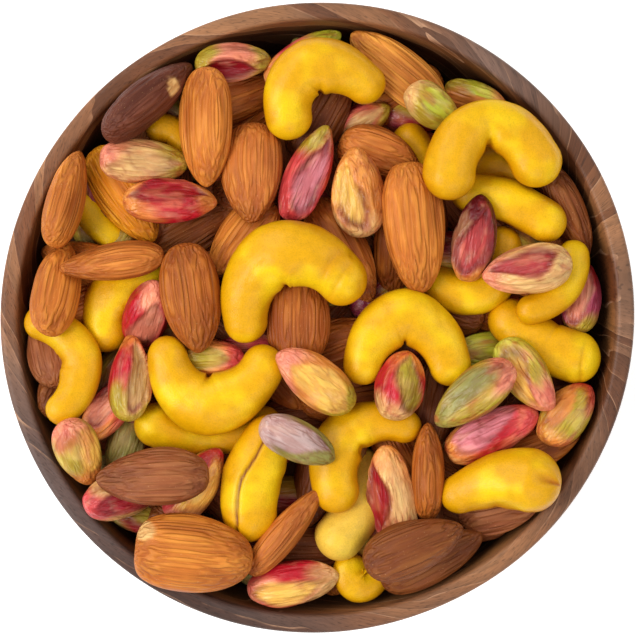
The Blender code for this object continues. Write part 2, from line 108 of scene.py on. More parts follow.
@dataclass(frozen=True)
class Kernel:
    """Where a straight nut lies in plan, its size, and its colours.

    A positive pitch lifts the tip, roll turns the nut about its length, and a nut lies over
    any nut of a lower layer. A pistachio kernel's colours are those of its blunt end, the face
    where its halves part, its tip and its flank. A chip is a bare spot: how far it is along and
    aside from the middle, and its radius. Hollow is about how deep that face is sunk, in
    millimetres, and lean how far it is turned round the length, away from the left side: without
    one, that differs from kernel to kernel. A blunt below 1 fills out both ends.
    """

    x: float
    y: float
    heading: float
    length: float
    width: float
    roll: float
    pitch: float
    layer: int
    colours: Skin | tuple[Hue, Hue, Hue, Hue]
    chip: Triple | None = None
    hollow: float = 0.25
    lean: float | None = None
    blunt: float = 1.0


@dataclass(frozen=True)
class Curl:
    """A curved nut: three plan points of its middle line, its thickness at each, and its layer.

    A split one has an open brown crease along its top. Folds are where creases run across it,
    as shares of its length. A cleft one parts into two lobes at its last end. Pale is how much of
    its yellow is bleached.
    """

    first: tuple[float, float]
    middle: tuple[float, float]
    last: tuple[float, float]
    first_size: float
    middle_size: float
    last_size: float
    layer: int
    split: bool = False
    folds: tuple[float, ...] = ()
    cleft: bool = False
    pale: float = 0.0


ALMONDS = (
    Kernel(-35.0, 45.0, 41, 24.5, 12.5, 72, 0, 3, Skin.COCOA, (4.8, 2.8, 2.0)),
    Kernel(-23.0, 39.5, -90, 25.0, 12.5, 30, 0, 4, Skin.TAN),
    Kernel(-13.5, 30.0, -90, 21.5, 13.5, 5, 0, 3, Skin.HAZEL),
    Kernel(-53.0, 25.0, 75, 21.0, 12.0, 75, 0, 2, Skin.TAN),
    Kernel(-40.5, 25.5, -57, 23.5, 12.5, 35, 0, 1, Skin.AMBER),
    Kernel(-16.0, 46.5, 20, 22.5, 11.5, 0, 0, 0, Skin.RUSSET),
    Kernel(17.0, 53.0, 140, 24.5, 11.0, 0, 0, 3, Skin.GOLDEN),
    Kernel(1.0, 42.5, 60, 21.5, 11.0, 0, 0, 0, Skin.UMBER),
    Kernel(13.0, 33.5, -20, 18.0, 12.5, 0, 0, 1, Skin.HAZEL),
    Kernel(20.0, 18.5, -83, 27.5, 13.5, 0, 0, 3, Skin.TAN, blunt=0.85),
    Kernel(5.5, 14.0, -62, 24.5, 12.0, 10, 0, 1, Skin.HAZEL),
    Kernel(52.0, 22.0, -65, 21.5, 11.5, 55, 0, 1, Skin.UMBER),
    Kernel(-54.0, 6.0, 80, 21.0, 11.5, 40, 0, 1, Skin.TAN),
    Kernel(-42.5, 11.5, 188, 22.0, 11.5, 65, 0, 3, Skin.HAZEL),
    Kernel(-26.0, 4.0, -82, 23.0, 13.0, 0, 0, 3, Skin.RUSSET),
    Kernel(-26.0, 18.0, 30, 22.5, 12.0, 0, 0, 0, Skin.UMBER),
    Kernel(-15.5, 16.5, 232, 20.5, 11.0, 25, 0, 1, Skin.TAN),
    Kernel(-56.0, -7.0, 100, 16.5, 11.0, 0, 0, -1, Skin.CHESTNUT),
    Kernel(-53.5, -13.5, 60, 18.5, 10.5, 20, 0, -2, Skin.UMBER),
    Kernel(-4.0, 1.0, 90, 22.5, 14.0, 0, 0, 1, Skin.RUSSET),
    Kernel(3.5, -6.0, 20, 21.0, 12.0, 0, 0, 0, Skin.RUSSET),
    Kernel(-3.5, -18.0, 60, 21.5, 12.0, 0, 0, -1, Skin.RUSSET),
    Kernel(24.5, -17.0, 80, 21.0, 11.0, 0, 0, 0, Skin.UMBER),
    Kernel(-34.0, -33.0, 182, 23.5, 12.5, 15, 0, 11, Skin.CHESTNUT),
    Kernel(-25.5, -49.0, -6, 24.5, 16.5, 0, 0, 5, Skin.TAN, (-10.5, 4.0, 2.4), blunt=0.7),
    Kernel(-6.5, -44.5, 50, 23.5, 10.5, 88, 0, 2, Skin.HAZEL),
    Kernel(23.0, -32.0, 90, 20.5, 11.0, 88, 0, 2, Skin.RUSSET),
    Kernel(20.0, -47.5, 22, 22.0, 11.5, 0, 0, 6, Skin.UMBER),
    Kernel(24.5, -51.5, 26, 23.5, 10.5, 20, 0, 5, Skin.UMBER),
    Kernel(-1.5, -48.5, 0, 21.0, 11.5, 0, 0, -1, Skin.UMBER),
    Kernel(46.5, -27.0, 20, 21.0, 11.5, 0, 0, 0, Skin.RUSSET),
    Kernel(39.0, -41.0, 12, 18.0, 10.5, 10, 0, 4, Skin.CHESTNUT),
)

PISTACHIOS = (
    Kernel(
        -36.0, 32.5, -3, 18.5, 9.5, 0, 0, 2, (Hue.BLUSH, Hue.CREAM, Hue.OLIVE, Hue.CREAM),
        hollow=0.4, blunt=0.8,
    ),
    Kernel(
        -30.5, 24.0, 0, 20.0, 9.0, 0, 0, 2, (Hue.APRICOT, Hue.CRIMSON, Hue.APRICOT, Hue.CRIMSON), hollow=0.7
    ),
    Kernel(-18.0, 54.5, 5, 16.0, 8.5, 30, 0, 3, (Hue.OLIVE, Hue.CRIMSON, Hue.OLIVE, Hue.BLUSH), hollow=1.0),
    Kernel(-3.0, 55.5, 33, 19.0, 8.0, 0, 0, 2, (Hue.APRICOT, Hue.OLIVE, Hue.LIME, Hue.ROSE)),
    Kernel(24.0, 43.5, -35, 13.5, 9.0, 0, 0, 4, (Hue.CREAM, Hue.LIME, Hue.CREAM, Hue.OLIVE)),
    Kernel(33.5, 46.5, -18, 14.0, 7.0, 0, 0, 1, (Hue.OLIVE, Hue.APRICOT, Hue.APRICOT, Hue.LIME)),
    Kernel(9.5, 41.0, 30, 13.5, 7.5, 0, 0, 0, (Hue.BLUSH, Hue.CREAM, Hue.OLIVE, Hue.ROSE)),
    Kernel(8.5, 26.0, 95, 19.0, 11.5, 0, 0, 2, (Hue.CREAM, Hue.HONEY, Hue.APRICOT, Hue.APRICOT), hollow=1.6),
    Kernel(-2.0, 30.0, 67, 21.5, 10.0, 0, 0, 2, (Hue.ROSE, Hue.PINK, Hue.OLIVE, Hue.ROSE), hollow=1.1),
    Kernel(
        32.5, 16.5, 80, 18.5, 9.5, 0, 0, 3, (Hue.APRICOT, Hue.ROSE, Hue.WINE, Hue.WINE), hollow=1.3, lean=8
    ),
    Kernel(
        -35.5, 1.0, 80, 16.5, 10.0, 0, 35, 2, (Hue.CRIMSON, Hue.BLUSH, Hue.BLUSH, Hue.CRIMSON), hollow=0.6
    ),
    Kernel(
        -39.0, -12.5, 88, 18.5, 9.0, 0, 0, 2, (Hue.OLIVE, Hue.CREAM, Hue.APRICOT, Hue.CRIMSON), hollow=1.1
    ),
    Kernel(-43.5, -19.0, 50, 16.5, 8.5, 0, 0, 1, (Hue.APRICOT, Hue.BLUSH, Hue.CREAM, Hue.ROSE), hollow=0.9),
    Kernel(-22.0, -8.5, 0, 14.5, 8.5, 0, 0, 1, (Hue.OLIVE, Hue.OLIVE, Hue.ROSE, Hue.APRICOT)),
    Kernel(-14.0, -5.0, 0, 15.0, 8.0, 0, 0, 0, (Hue.CRIMSON, Hue.ROSE, Hue.BLUSH, Hue.MAROON)),
    Kernel(-49.5, -28.0, -70, 15.5, 9.5, 0, 0, 1, (Hue.BLUSH, Hue.HONEY, Hue.APRICOT, Hue.OLIVE)),
    Kernel(-40.0, -25.5, 75, 15.5, 8.5, 0, 0, 0, (Hue.SAGE, Hue.SAGE, Hue.OLIVE, Hue.SAGE)),
    Kernel(-0.5, -13.0, 143, 20.0, 10.5, 0, 0, 2, (Hue.OLIVE, Hue.HONEY, Hue.BLUSH, Hue.APRICOT)),
    Kernel(-4.0, -25.5, -27, 17.5, 8.5, 0, 0, 3, (Hue.LILAC, Hue.LILAC, Hue.SAGE, Hue.SAGE)),
    Kernel(
        17.0, -14.0, 75, 15.0, 10.5, 0, 0, 2, (Hue.CREAM, Hue.OLIVE, Hue.APRICOT, Hue.CRIMSON), hollow=0.6
    ),
    Kernel(
        43.5, 10.0, 190, 19.0, 10.5, 45, 0, 4, (Hue.CREAM, Hue.ROSE, Hue.BLUSH, Hue.CREAM),
        hollow=1.0, lean=-10,
    ),
    Kernel(55.5, 4.0, 80, 15.0, 8.5, 0, 0, 1, (Hue.OLIVE, Hue.BLUSH, Hue.MAROON, Hue.PLUM), hollow=0.6),
    Kernel(43.5, -12.0, -52, 18.0, 9.5, 0, 0, 2, (Hue.LIME, Hue.HONEY, Hue.BLUSH, Hue.OLIVE), hollow=0.5),
    Kernel(36.0, -7.0, 10, 16.0, 8.5, 0, 0, 0, (Hue.LIME, Hue.LIME, Hue.CRIMSON, Hue.LIME)),
    Kernel(32.5, -16.0, 218, 20.5, 10.5, 0, 0, 3, (Hue.BLUSH, Hue.SAGE, Hue.SAGE, Hue.OLIVE)),
    Kernel(
        36.5, -24.0, 25, 21.0, 10.0, 0, 0, 2, (Hue.APRICOT, Hue.PINK, Hue.ROSE, Hue.CRIMSON),
        hollow=0.5, lean=-25, blunt=0.8,
    ),
    Kernel(52.0, -20.0, 50, 16.0, 9.5, 0, 0, 1, (Hue.APRICOT, Hue.APRICOT, Hue.CRIMSON, Hue.OLIVE)),
    Kernel(
        -42.0, -38.5, 15, 17.5, 10.0, -20, -10, 9, (Hue.ROSE, Hue.CRIMSON, Hue.MAROON, Hue.CREAM),
        hollow=0.8, lean=58,
    ),
    Kernel(-25.5, -35.0, 55, 19.0, 10.5, 0, 0, 4, (Hue.BLUSH, Hue.ROSE, Hue.CRIMSON, Hue.HONEY), lean=-30),
    Kernel(
        15.5, -36.5, 99, 20.5, 10.0, -35, 0, 3, (Hue.BLUSH, Hue.CRIMSON, Hue.APRICOT, Hue.CREAM),
        hollow=1.0, lean=-36, blunt=0.8,
    ),
    Kernel(
        -5.0, -55.5, 10, 19.5, 9.5, 0, 0, 2, (Hue.BLUSH, Hue.HONEY, Hue.CREAM, Hue.CRIMSON),
        hollow=0.6, lean=12,
    ),
)

CASHEWS = (
    Curl((-6.0, 41.5), (-2.5, 51.5), (10.0, 48.5), 9.5, 11.5, 8.5, 4),
    Curl((27.0, 29.5), (34.5, 40.5), (45.5, 32.5), 11.0, 9.5, 11.0, 5),
    Curl((19.5, 37.0), (21.0, 35.0), (22.0, 31.5), 7.5, 7.5, 7.0, 0),
    Curl((32.0, 26.0), (40.0, 24.0), (47.5, 20.0), 8.5, 10.0, 9.0, 2),
    Curl((-44.0, -2.5), (-43.0, 4.5), (-35.0, 8.5), 9.5, 10.5, 9.5, 1),
    Curl((-57.5, -1.0), (-49.0, -8.0), (-53.0, -19.0), 7.0, 8.5, 7.0, 0),
    Curl((-31.0, -8.0), (-24.5, -18.0), (-11.5, -10.5), 8.5, 12.5, 10.0, 2),
    Curl((-15.0, -1.0), (-9.0, 13.0), (5.0, 8.0), 9.0, 13.5, 11.0, 3, folds=(0.8, 0.87)),
    Curl((-33.5, -22.5), (-22.5, -25.5), (-11.5, -22.5), 9.5, 6.0, 8.5, 1),
    Curl((9.5, -10.0), (17.5, 0.5), (27.5, -9.5), 8.0, 12.0, 9.5, 2),
    Curl((18.0, -22.5), (6.0, -24.0), (4.0, -36.0), 7.5, 10.5, 9.5, 1),
    Curl((26.0, 6.5), (34.5, 5.5), (38.5, 15.0), 8.5, 9.5, 8.5, 1),
    Curl((53.5, 13.0), (52.0, 6.5), (44.5, 1.5), 6.5, 7.0, 6.5, 2),
    Curl((40.5, -1.0), (47.0, -5.5), (54.0, -8.5), 10.0, 11.0, 10.5, 1, folds=(0.86,)),
    Curl((-10.0, -25.0), (-13.5, -34.0), (-14.0, -41.0), 10.0, 13.5, 11.5, 2, split=True),
    Curl((10.5, -31.5), (8.5, -39.5), (4.5, -46.0), 9.0, 11.5, 10.5, 0, pale=0.5),
    Curl((7.0, -53.5), (8.5, -56.5), (12.0, -55.5), 7.0, 7.5, 6.0, 4),
    Curl((29.5, -36.5), (37.5, -34.0), (44.0, -34.0), 8.5, 11.5, 13.5, 5, cleft=True),
    Curl((34.0, 28.0), (37.0, 32.0), (41.0, 30.0), 7.5, 8.5, 7.5, 1),
    Curl((-49.0, 23.5), (-46.5, 20.5), (-43.0, 17.0), 7.0, 7.5, 7.0, 0),
    Curl((-33.0, 39.5), (-30.5, 39.0), (-28.0, 36.5), 6.0, 6.0, 6.0, 0),
)


def linear(colour: str) -> np.ndarray:
    """Linear red, green and blue of an sRGB hex colour."""
    srgb = np.array([int(colour[i : i + 2], 16) / 255 for i in (1, 3, 5)])
    return np.where(srgb <= 0.04045, srgb / 12.92, ((srgb + 0.055) / 1.055) ** 2.4)


def lattice_noise(points: np.ndarray, seed: int = 0) -> np.ndarray:
    """Smooth noise from -1 to 1 at points of any scale.

    Each whole-number corner has a value hashed from its coordinates and the seed. The eight
    corners round a point are blended by the smoothstep of the point's distance from them.

    Args:
        points: Array of points, three numbers each, with one unit a lattice cell.
        seed: Which noise to give.

    Returns:
        One value for each point.
    """
    cell = np.floor(points)
    part = points - cell
    part = part * part * (3 - 2 * part)
    cell = cell.astype(np.int64)
    total = np.zeros(points.shape[:-1])
    for corner in np.ndindex(2, 2, 2):
        x, y, z = (cell[..., axis] + corner[axis] for axis in range(3))
        mixed = (x * 73856093) ^ (y * 19349663) ^ (z * 83492791) ^ (seed * 2654435761)
        mixed = (mixed ^ (mixed >> 13)) * 1274126177 & 0x7FFFFFFF
        value = (mixed ^ (mixed >> 16)) % 65536 / 32767.5 - 1
        share = np.where(corner, part, 1 - part).prod(axis=-1)
        total += share * value
    return total


def layered_noise(points: np.ndarray, octaves: int, seed: int) -> np.ndarray:
    """Sum of finer and weaker noises, each at twice the scale and half the strength.

    Args:
        points: Array of points, three numbers each, with one unit a cell of the coarsest noise.
        octaves: Number of noises.
        seed: Which noises to add.

    Returns:
        One value for each point.
    """
    strengths = 0.5 ** np.arange(octaves)
    layers = [s * lattice_noise(points / s, seed + n) for n, s in enumerate(strengths)]
    return sum(layers) / strengths.sum()


def smoothstep(low: float, high: float, value: np.ndarray) -> np.ndarray:
    """0 below low, 1 above high, and a smooth rise between."""
    share = np.clip((value - low) / (high - low), 0, 1)
    return share * share * (3 - 2 * share)


def rotation(heading: float, pitch: float = 0.0, roll: float = 0.0) -> np.ndarray:
    """Matrix that rolls about X, lifts the +X end, then turns about Z.

    Args:
        heading: Angle about Z.
        pitch: How far the +X end is lifted.
        roll: Angle about X.

    Returns:
        The matrix, for column vectors.
    """
    h, p, r = (math.radians(angle) for angle in (heading, pitch, roll))
    turn = np.array([[math.cos(h), -math.sin(h), 0], [math.sin(h), math.cos(h), 0], [0, 0, 1]])
    lift = np.array([[math.cos(p), 0, -math.sin(p)], [0, 1, 0], [math.sin(p), 0, math.cos(p)]])
    spin = np.array([[1, 0, 0], [0, math.cos(r), -math.sin(r)], [0, math.sin(r), math.cos(r)]])
    return turn @ lift @ spin


def leaning(slope: np.ndarray) -> np.ndarray:
    """Matrix that leans a level thing to this slope without turning it."""
    x, y, z = np.array([-slope[0], -slope[1], 1.0]) / math.hypot(slope[0], slope[1], 1.0)
    return np.array(
        [
            [1 - x * x / (1 + z), -x * y / (1 + z), x],
            [-x * y / (1 + z), 1 - y * y / (1 + z), y],
            [-x, -y, z],
        ]
    )


def add_node(tree: Tree, kind: str, settings: dict | None = None, **links: Socket) -> bpy.types.Node:
    """Add a shader node, set it up and link it.

    Args:
        tree: The material's node tree.
        kind: Node type.
        settings: Attributes of the node, values of its inputs where a name is an input's, and
            the stops of a ramp, each a position and a level.
        links: For each input, by name with _ for a space, or by i and its number, the output
            socket that feeds it.

    Returns:
        The new node.
    """
    node = tree.nodes.new(kind)
    for name, value in (settings or {}).items():
        if name == "stops":
            for element, (position, level) in zip(node.color_ramp.elements, value):
                element.position = position
                element.color = (level, level, level, 1)
        elif isinstance(name, int) or name in node.inputs:
            node.inputs[name].default_value = value
        else:
            setattr(node, name, value)
    for name, socket in links.items():
        key = int(name[1:]) if name[0] == "i" and name[1:].isdigit() else name.replace("_", " ")
        tree.links.new(socket, node.inputs[key])
    return node


def stretched(tree: Tree, name: str, cells: Triple) -> Socket:
    """A stored vector of the mesh, in millimetres, times this many cells to the millimetre.

    Args:
        tree: The material's node tree.
        name: Name of the stored vector.
        cells: Cells to the millimetre on each axis.

    Returns:
        The vector, in cells.
    """
    place = add_node(tree, "ShaderNodeAttribute", {"attribute_name": name}).outputs["Vector"]
    settings = {"operation": "MULTIPLY", 1: cells}
    return add_node(tree, "ShaderNodeVectorMath", settings, i0=place).outputs["Vector"]


def pattern(tree: Tree, name: str, cells: Triple, detail: float = 2.0) -> Socket:
    """Noise over a stored vector of the mesh, with this many cells to the millimetre."""
    settings = {"Scale": 1.0, "Detail": detail, "Roughness": 0.55}
    return add_node(tree, "ShaderNodeTexNoise", settings, Vector=stretched(tree, name, cells)).outputs["Fac"]


def creases(tree: Tree, value: Socket, width: float) -> Socket:
    """0 where a pattern passes its middle, rising to 1 at this distance in value from there.

    Args:
        tree: The material's node tree.
        value: The pattern.
        width: Distance in value at which 1 is reached.

    Returns:
        The level, from 0 to 1.
    """
    middle = add_node(tree, "ShaderNodeMath", {"operation": "SUBTRACT", 1: 0.5}, i0=value).outputs[0]
    apart = add_node(tree, "ShaderNodeMath", {"operation": "ABSOLUTE"}, i0=middle).outputs[0]
    settings = {"From Max": width, "interpolation_type": "SMOOTHSTEP"}
    return add_node(tree, "ShaderNodeMapRange", settings, Value=apart).outputs["Result"]


def darkened(tree: Tree, colour: Socket, value: Socket, stops: Stops, share: float) -> Socket:
    """Colour times the level that the stops give value, as strongly as share says.

    Args:
        tree: The material's node tree.
        colour: The colour so far.
        value: The pattern.
        stops: Position and level at either end of the ramp.
        share: How strongly, from 0 to 1.

    Returns:
        The new colour.
    """
    level = add_node(tree, "ShaderNodeValToRGB", {"stops": stops}, Fac=value).outputs["Color"]
    settings = {"data_type": "RGBA", "blend_type": "MULTIPLY", 0: share}
    return add_node(tree, "ShaderNodeMix", settings, i6=colour, i7=level).outputs[2]


def stained(tree: Tree, colour: Socket, value: Socket, stops: Stops, stain: str) -> Socket:
    """Colour times the stain, an sRGB hex, the more so the nearer to 0 the stops bring value.

    Args:
        tree: The material's node tree.
        colour: The colour so far.
        value: The pattern.
        stops: Position and level at either end of the ramp.
        stain: The stain's sRGB hex.

    Returns:
        The new colour.
    """
    clear = add_node(tree, "ShaderNodeValToRGB", {"stops": stops}, Fac=value).outputs["Color"]
    settings = {"data_type": "RGBA", "blend_type": "MULTIPLY", 6: (*linear(stain), 1)}
    tinted = add_node(tree, "ShaderNodeMix", settings | {0: 1.0}, i7=colour).outputs[2]
    return add_node(tree, "ShaderNodeMix", {"data_type": "RGBA"}, i0=clear, i6=tinted, i7=colour).outputs[2]


def flecked(tree: Tree, colour: Socket, value: Socket, stops: Stops, fleck: str) -> Socket:
    """Colour going over to the fleck's, an sRGB hex, by the level that the stops give value.

    Args:
        tree: The material's node tree.
        colour: The colour so far.
        value: The pattern.
        stops: Position and level at either end of the ramp.
        fleck: The fleck's sRGB hex.

    Returns:
        The new colour.
    """
    level = add_node(tree, "ShaderNodeValToRGB", {"stops": stops}, Fac=value).outputs["Color"]
    settings = {"data_type": "RGBA", 7: (*linear(fleck), 1)}
    return add_node(tree, "ShaderNodeMix", settings, i0=level, i6=colour).outputs[2]


@dataclass(frozen=True)
class Look:
    """What a finish works out over a piece.

    That is its colour, its place on the scale of roughness, the height of its relief, and finer
    layers of relief with the strength of each.
    """

    colour: Socket
    sheen: Socket
    height: Socket
    layers: tuple[tuple[Socket, float], ...] = ()


@dataclass(frozen=True)
class Finish:
    """What every finish shares: a name, a range of roughness and the depth of its finest relief."""

    name: str
    roughness: tuple[float, float]
    relief_mm: float
    specular: float = 0.5

    def look(self, tree: Tree, tint: Socket) -> Look:
        """The finish over a piece whose own colour is tint.

        Args:
            tree: The material's node tree.
            tint: The piece's own colour.

        Returns:
            The look, for the shader.
        """
        raise NotImplementedError

    def material(self) -> bpy.types.Material:
        """The finish as a material.

        Returns:
            The new material.
        """
        made = bpy.data.materials.new(self.name)
        made.use_nodes = True
        tree = made.node_tree
        tree.nodes.clear()
        tint = add_node(tree, "ShaderNodeAttribute", {"attribute_name": "tint"}).outputs["Color"]
        look = self.look(tree, tint)
        height = look.height
        for layer, strength in look.layers:
            settings = {"operation": "MULTIPLY_ADD", 1: strength}
            height = add_node(tree, "ShaderNodeMath", settings, i0=layer, i2=height).outputs[0]
        low, high = self.roughness
        rough = add_node(tree, "ShaderNodeMapRange", {"To Min": low, "To Max": high}, Value=look.sheen)
        settings = {"Distance": self.relief_mm * MM, "Strength": 1.0}
        bump = add_node(tree, "ShaderNodeBump", settings, Height=height)
        shader = add_node(
            tree,
            "ShaderNodeBsdfPrincipled",
            {"IOR": 1.47, "Specular IOR Level": self.specular},
            Base_Color=look.colour,
            Roughness=rough.outputs["Result"],
            Normal=bump.outputs["Normal"],
        )
        add_node(tree, "ShaderNodeOutputMaterial", Surface=shader.outputs["BSDF"])
        return made


class AlmondSkin(Finish):
    """Papery almond skin: fine lengthwise wrinkles, paler on their crests, with painted shade along their
    furrows.
    """

    def look(self, tree: Tree, tint: Socket) -> Look:
        """Tinted skin, with painted shade in wrinkles about 1 mm apart, fibres and pale flecks.

        Args:
            tree: The material's node tree.
            tint: The piece's own colour.

        Returns:
            The look, for the shader.
        """
        broad = pattern(tree, "nut_place", (0.05, 0.5, 0.5), 1.0)
        ridges = pattern(tree, "nut_place", (0.03, 1.0, 1.0), 0.6)
        fibres = pattern(tree, "nut_place", (0.3, 3.0, 3.0))
        specks = pattern(tree, "nut_place", (2.2, 3.2, 3.2))
        blotches = pattern(tree, "nut_place", (0.14, 0.24, 0.24))
        crests = creases(tree, ridges, 0.2)
        # Painted shade: the skin is stained darker along the furrows between wrinkles.
        colour = stained(tree, tint, crests, ((0.0, 0.55), (1.0, 1.0)), "#c9966c")
        colour = stained(tree, colour, broad, ((0.34, 0.82), (0.58, 1.0)), "#d2a07c")
        colour = stained(tree, colour, blotches, ((0.34, 0.68), (0.58, 1.0)), "#d0936a")
        colour = darkened(tree, colour, fibres, ((0.3, 0.7), (0.62, 1.0)), 0.5)
        colour = flecked(tree, colour, specks, ((0.66, 0.0), (0.76, 0.3)), "#f0ba80")
        return Look(colour, specks, crests, ((broad, 1.4), (fibres, 0.25)))


class KernelSkin(Finish):
    """Thin pistachio skin, half worn off: it gives veins, worn edges and a faint bloom."""

    def look(self, tree: Tree, tint: Socket) -> Look:
        """Patchy tint, darker veins along the kernel and pale worn flecks.

        Args:
            tree: The material's node tree.
            tint: The piece's own colour.

        Returns:
            The look, for the shader.
        """
        veins = pattern(tree, "nut_place", (0.12, 0.7, 0.7), 1.5)
        worn = pattern(tree, "nut_place", (0.2, 0.4, 0.4))
        grains = pattern(tree, "nut_place", (1.2, 2.6, 2.6))
        clear = creases(tree, veins, 0.16)
        colour = stained(tree, tint, clear, ((0.0, 0.65), (1.0, 1.0)), "#c9806a")
        colour = flecked(tree, colour, worn, ((0.56, 0.0), (0.74, 0.16)), "#f3d3a0")
        colour = darkened(tree, colour, grains, ((0.3, 0.75), (0.6, 1.0)), 0.35)
        return Look(colour, grains, clear, ((grains, 0.6),))


class TurmericGlaze(Finish):
    """Turmeric and oil on roasted cashew: a waxy, deep yellow with faint mottling and pits."""

    def look(self, tree: Tree, tint: Socket) -> Look:
        """Tinted yellow with mottling about 2 mm across and small darker pits.

        Args:
            tree: The material's node tree.
            tint: The piece's own colour.

        Returns:
            The look, for the shader.
        """
        mottle = pattern(tree, "nut_place", (0.55, 0.55, 0.55), 3.0)
        powder = pattern(tree, "nut_place", (3.5, 3.5, 3.5), 3.0)
        colour = darkened(tree, tint, mottle, ((0.3, 0.8), (0.62, 1.0)), 0.5)
        colour = darkened(tree, colour, powder, ((0.3, 0.7), (0.55, 1.0)), 0.5)
        return Look(colour, powder, mottle, ((powder, 0.6),))


class OiledWalnut(Finish):
    """Oiled walnut: brown with darker figure, thin tan streaks and short open pores."""

    def look(self, tree: Tree, tint: Socket) -> Look:
        """Rings of growth about 3 mm wide, streaks and pores, all along the stored run of the grain.

        Args:
            tree: The material's node tree.
            tint: The piece's own colour.

        Returns:
            The look, for the shader.
        """
        wander = pattern(tree, "grain", (0.03, 0.09, 0.03))
        across = add_node(tree, "ShaderNodeSeparateXYZ", Vector=stretched(tree, "grain", (1.0, 0.3, 1.0)))
        settings = {"operation": "MULTIPLY_ADD", 1: 5.0}
        years = add_node(tree, "ShaderNodeMath", settings, i0=wander, i2=across.outputs["Y"]).outputs[0]
        year = add_node(tree, "ShaderNodeMath", {"operation": "FLOOR"}, i0=years).outputs[0]
        within = add_node(tree, "ShaderNodeMath", {"operation": "FRACT"}, i0=years).outputs[0]
        shade = add_node(tree, "ShaderNodeTexWhiteNoise", {"noise_dimensions": "1D"}, W=year).outputs["Value"]
        colour = stained(tree, tint, shade, ((0.0, 0.0), (0.9, 1.0)), "#b59c8c")
        colour = darkened(tree, colour, within, ((0.1, 1.0), (0.95, 0.72)), 1.0)
        edge = add_node(tree, "ShaderNodeValToRGB", {"stops": ((0.0, 1.0), (0.11, 0.0))}, Fac=within)
        broken = pattern(tree, "grain", (0.09, 0.25, 0.09))
        settings = {"stops": ((0.42, 0.0), (0.6, 0.85))}
        unbroken = add_node(tree, "ShaderNodeValToRGB", settings, Fac=broken).outputs["Color"]
        settings = {"operation": "MULTIPLY"}
        streak = add_node(tree, "ShaderNodeMath", settings, i0=edge.outputs["Color"], i1=unbroken).outputs[0]
        settings = {"data_type": "RGBA", 7: (*linear("#c09270"), 1)}
        colour = add_node(tree, "ShaderNodeMix", settings, i0=streak, i6=colour).outputs[2]
        fibres = pattern(tree, "grain", (0.3, 3.2, 0.3), 3.0)
        colour = darkened(tree, colour, fibres, ((0.3, 0.6), (0.62, 1.0)), 0.7)
        pores = pattern(tree, "grain", (0.9, 6.0, 0.9), 0.0)
        opening = ((0.24, 0.35), (0.36, 1.0))
        colour = darkened(tree, colour, pores, opening, 0.6)
        height = add_node(tree, "ShaderNodeValToRGB", {"stops": opening}, Fac=pores).outputs["Color"]
        return Look(colour, fibres, height, ((fibres, 0.5),))


class ShadedCore(Finish):
    """Nuts too deep to tell apart: dark brown, broken up so that gaps don't look flat."""

    def look(self, tree: Tree, tint: Socket) -> Look:
        """Two browns in nut-sized patches.

        Args:
            tree: The material's node tree.
            tint: The piece's own colour.

        Returns:
            The look, for the shader.
        """
        patches = pattern(tree, "nut_place", (0.12, 0.12, 0.12), 3.0)
        colour = darkened(tree, tint, patches, ((0.35, 0.4), (0.6, 1.0)), 0.9)
        return Look(colour, patches, patches)


@dataclass
class Surface:
    """Points on a closed grid of rings with an end point at either end, and what is stored at each.

    Rings are (ring, side, 3), ends are (2, 3), and each stored value has the same rows: those
    of the rings, flattened, then the two ends.
    """

    rings: np.ndarray
    ends: np.ndarray
    stored: dict[str, np.ndarray] = field(default_factory=dict)

    def points(self) -> np.ndarray:
        """All points, rings first."""
        return np.concatenate([self.rings.reshape(-1, 3), self.ends])

    def moved(self, points: np.ndarray) -> "Surface":
        """The same surface with new points."""
        return Surface(points[:-2].reshape(self.rings.shape), points[-2:], self.stored)


def ring_faces(rings: int, sides: int) -> tuple[np.ndarray, np.ndarray, np.ndarray]:
    """Faces of a closed surface of rings with a point at either end, unrolled on a unit square.

    Quads join each ring to the next and triangles close each end. U is the share of the way
    round, and V the share of the way from one end point to the other.

    Args:
        rings: Number of rings.
        sides: Number of points in each ring.

    Returns:
        Corners of the quads, corners of the triangles, and U and V at each of them in turn.
    """
    ring, side = np.meshgrid(np.arange(rings - 1), np.arange(sides), indexing="ij")
    ring_at = np.stack([ring, ring, ring + 1, ring + 1], axis=-1).reshape(-1, 4)
    side_at = np.stack([side, side + 1, side + 1, side], axis=-1).reshape(-1, 4)
    quads = ring_at * sides + side_at % sides
    this, last = np.arange(sides), (rings - 1) * sides
    after, first_end = (this + 1) % sides, np.full(sides, rings * sides)
    low = np.stack([first_end, after, this], axis=-1)
    high = np.stack([first_end + 1, last + this, last + after], axis=-1)
    half_way = this + 0.5
    low_uv = np.stack([[half_way, this + 1, this], np.outer([0, 1, 1], np.ones(sides))], axis=-1)
    high_uv = np.stack([[half_way, this, this + 1], rings + np.outer([1, 0, 0], np.ones(sides))], axis=-1)
    corners = [
        np.stack([side_at, ring_at + 1], axis=-1).reshape(-1, 2),
        low_uv.transpose(1, 0, 2).reshape(-1, 2),
        high_uv.transpose(1, 0, 2).reshape(-1, 2),
    ]
    return quads, np.concatenate([low, high]), np.concatenate(corners) / (sides, rings + 1)


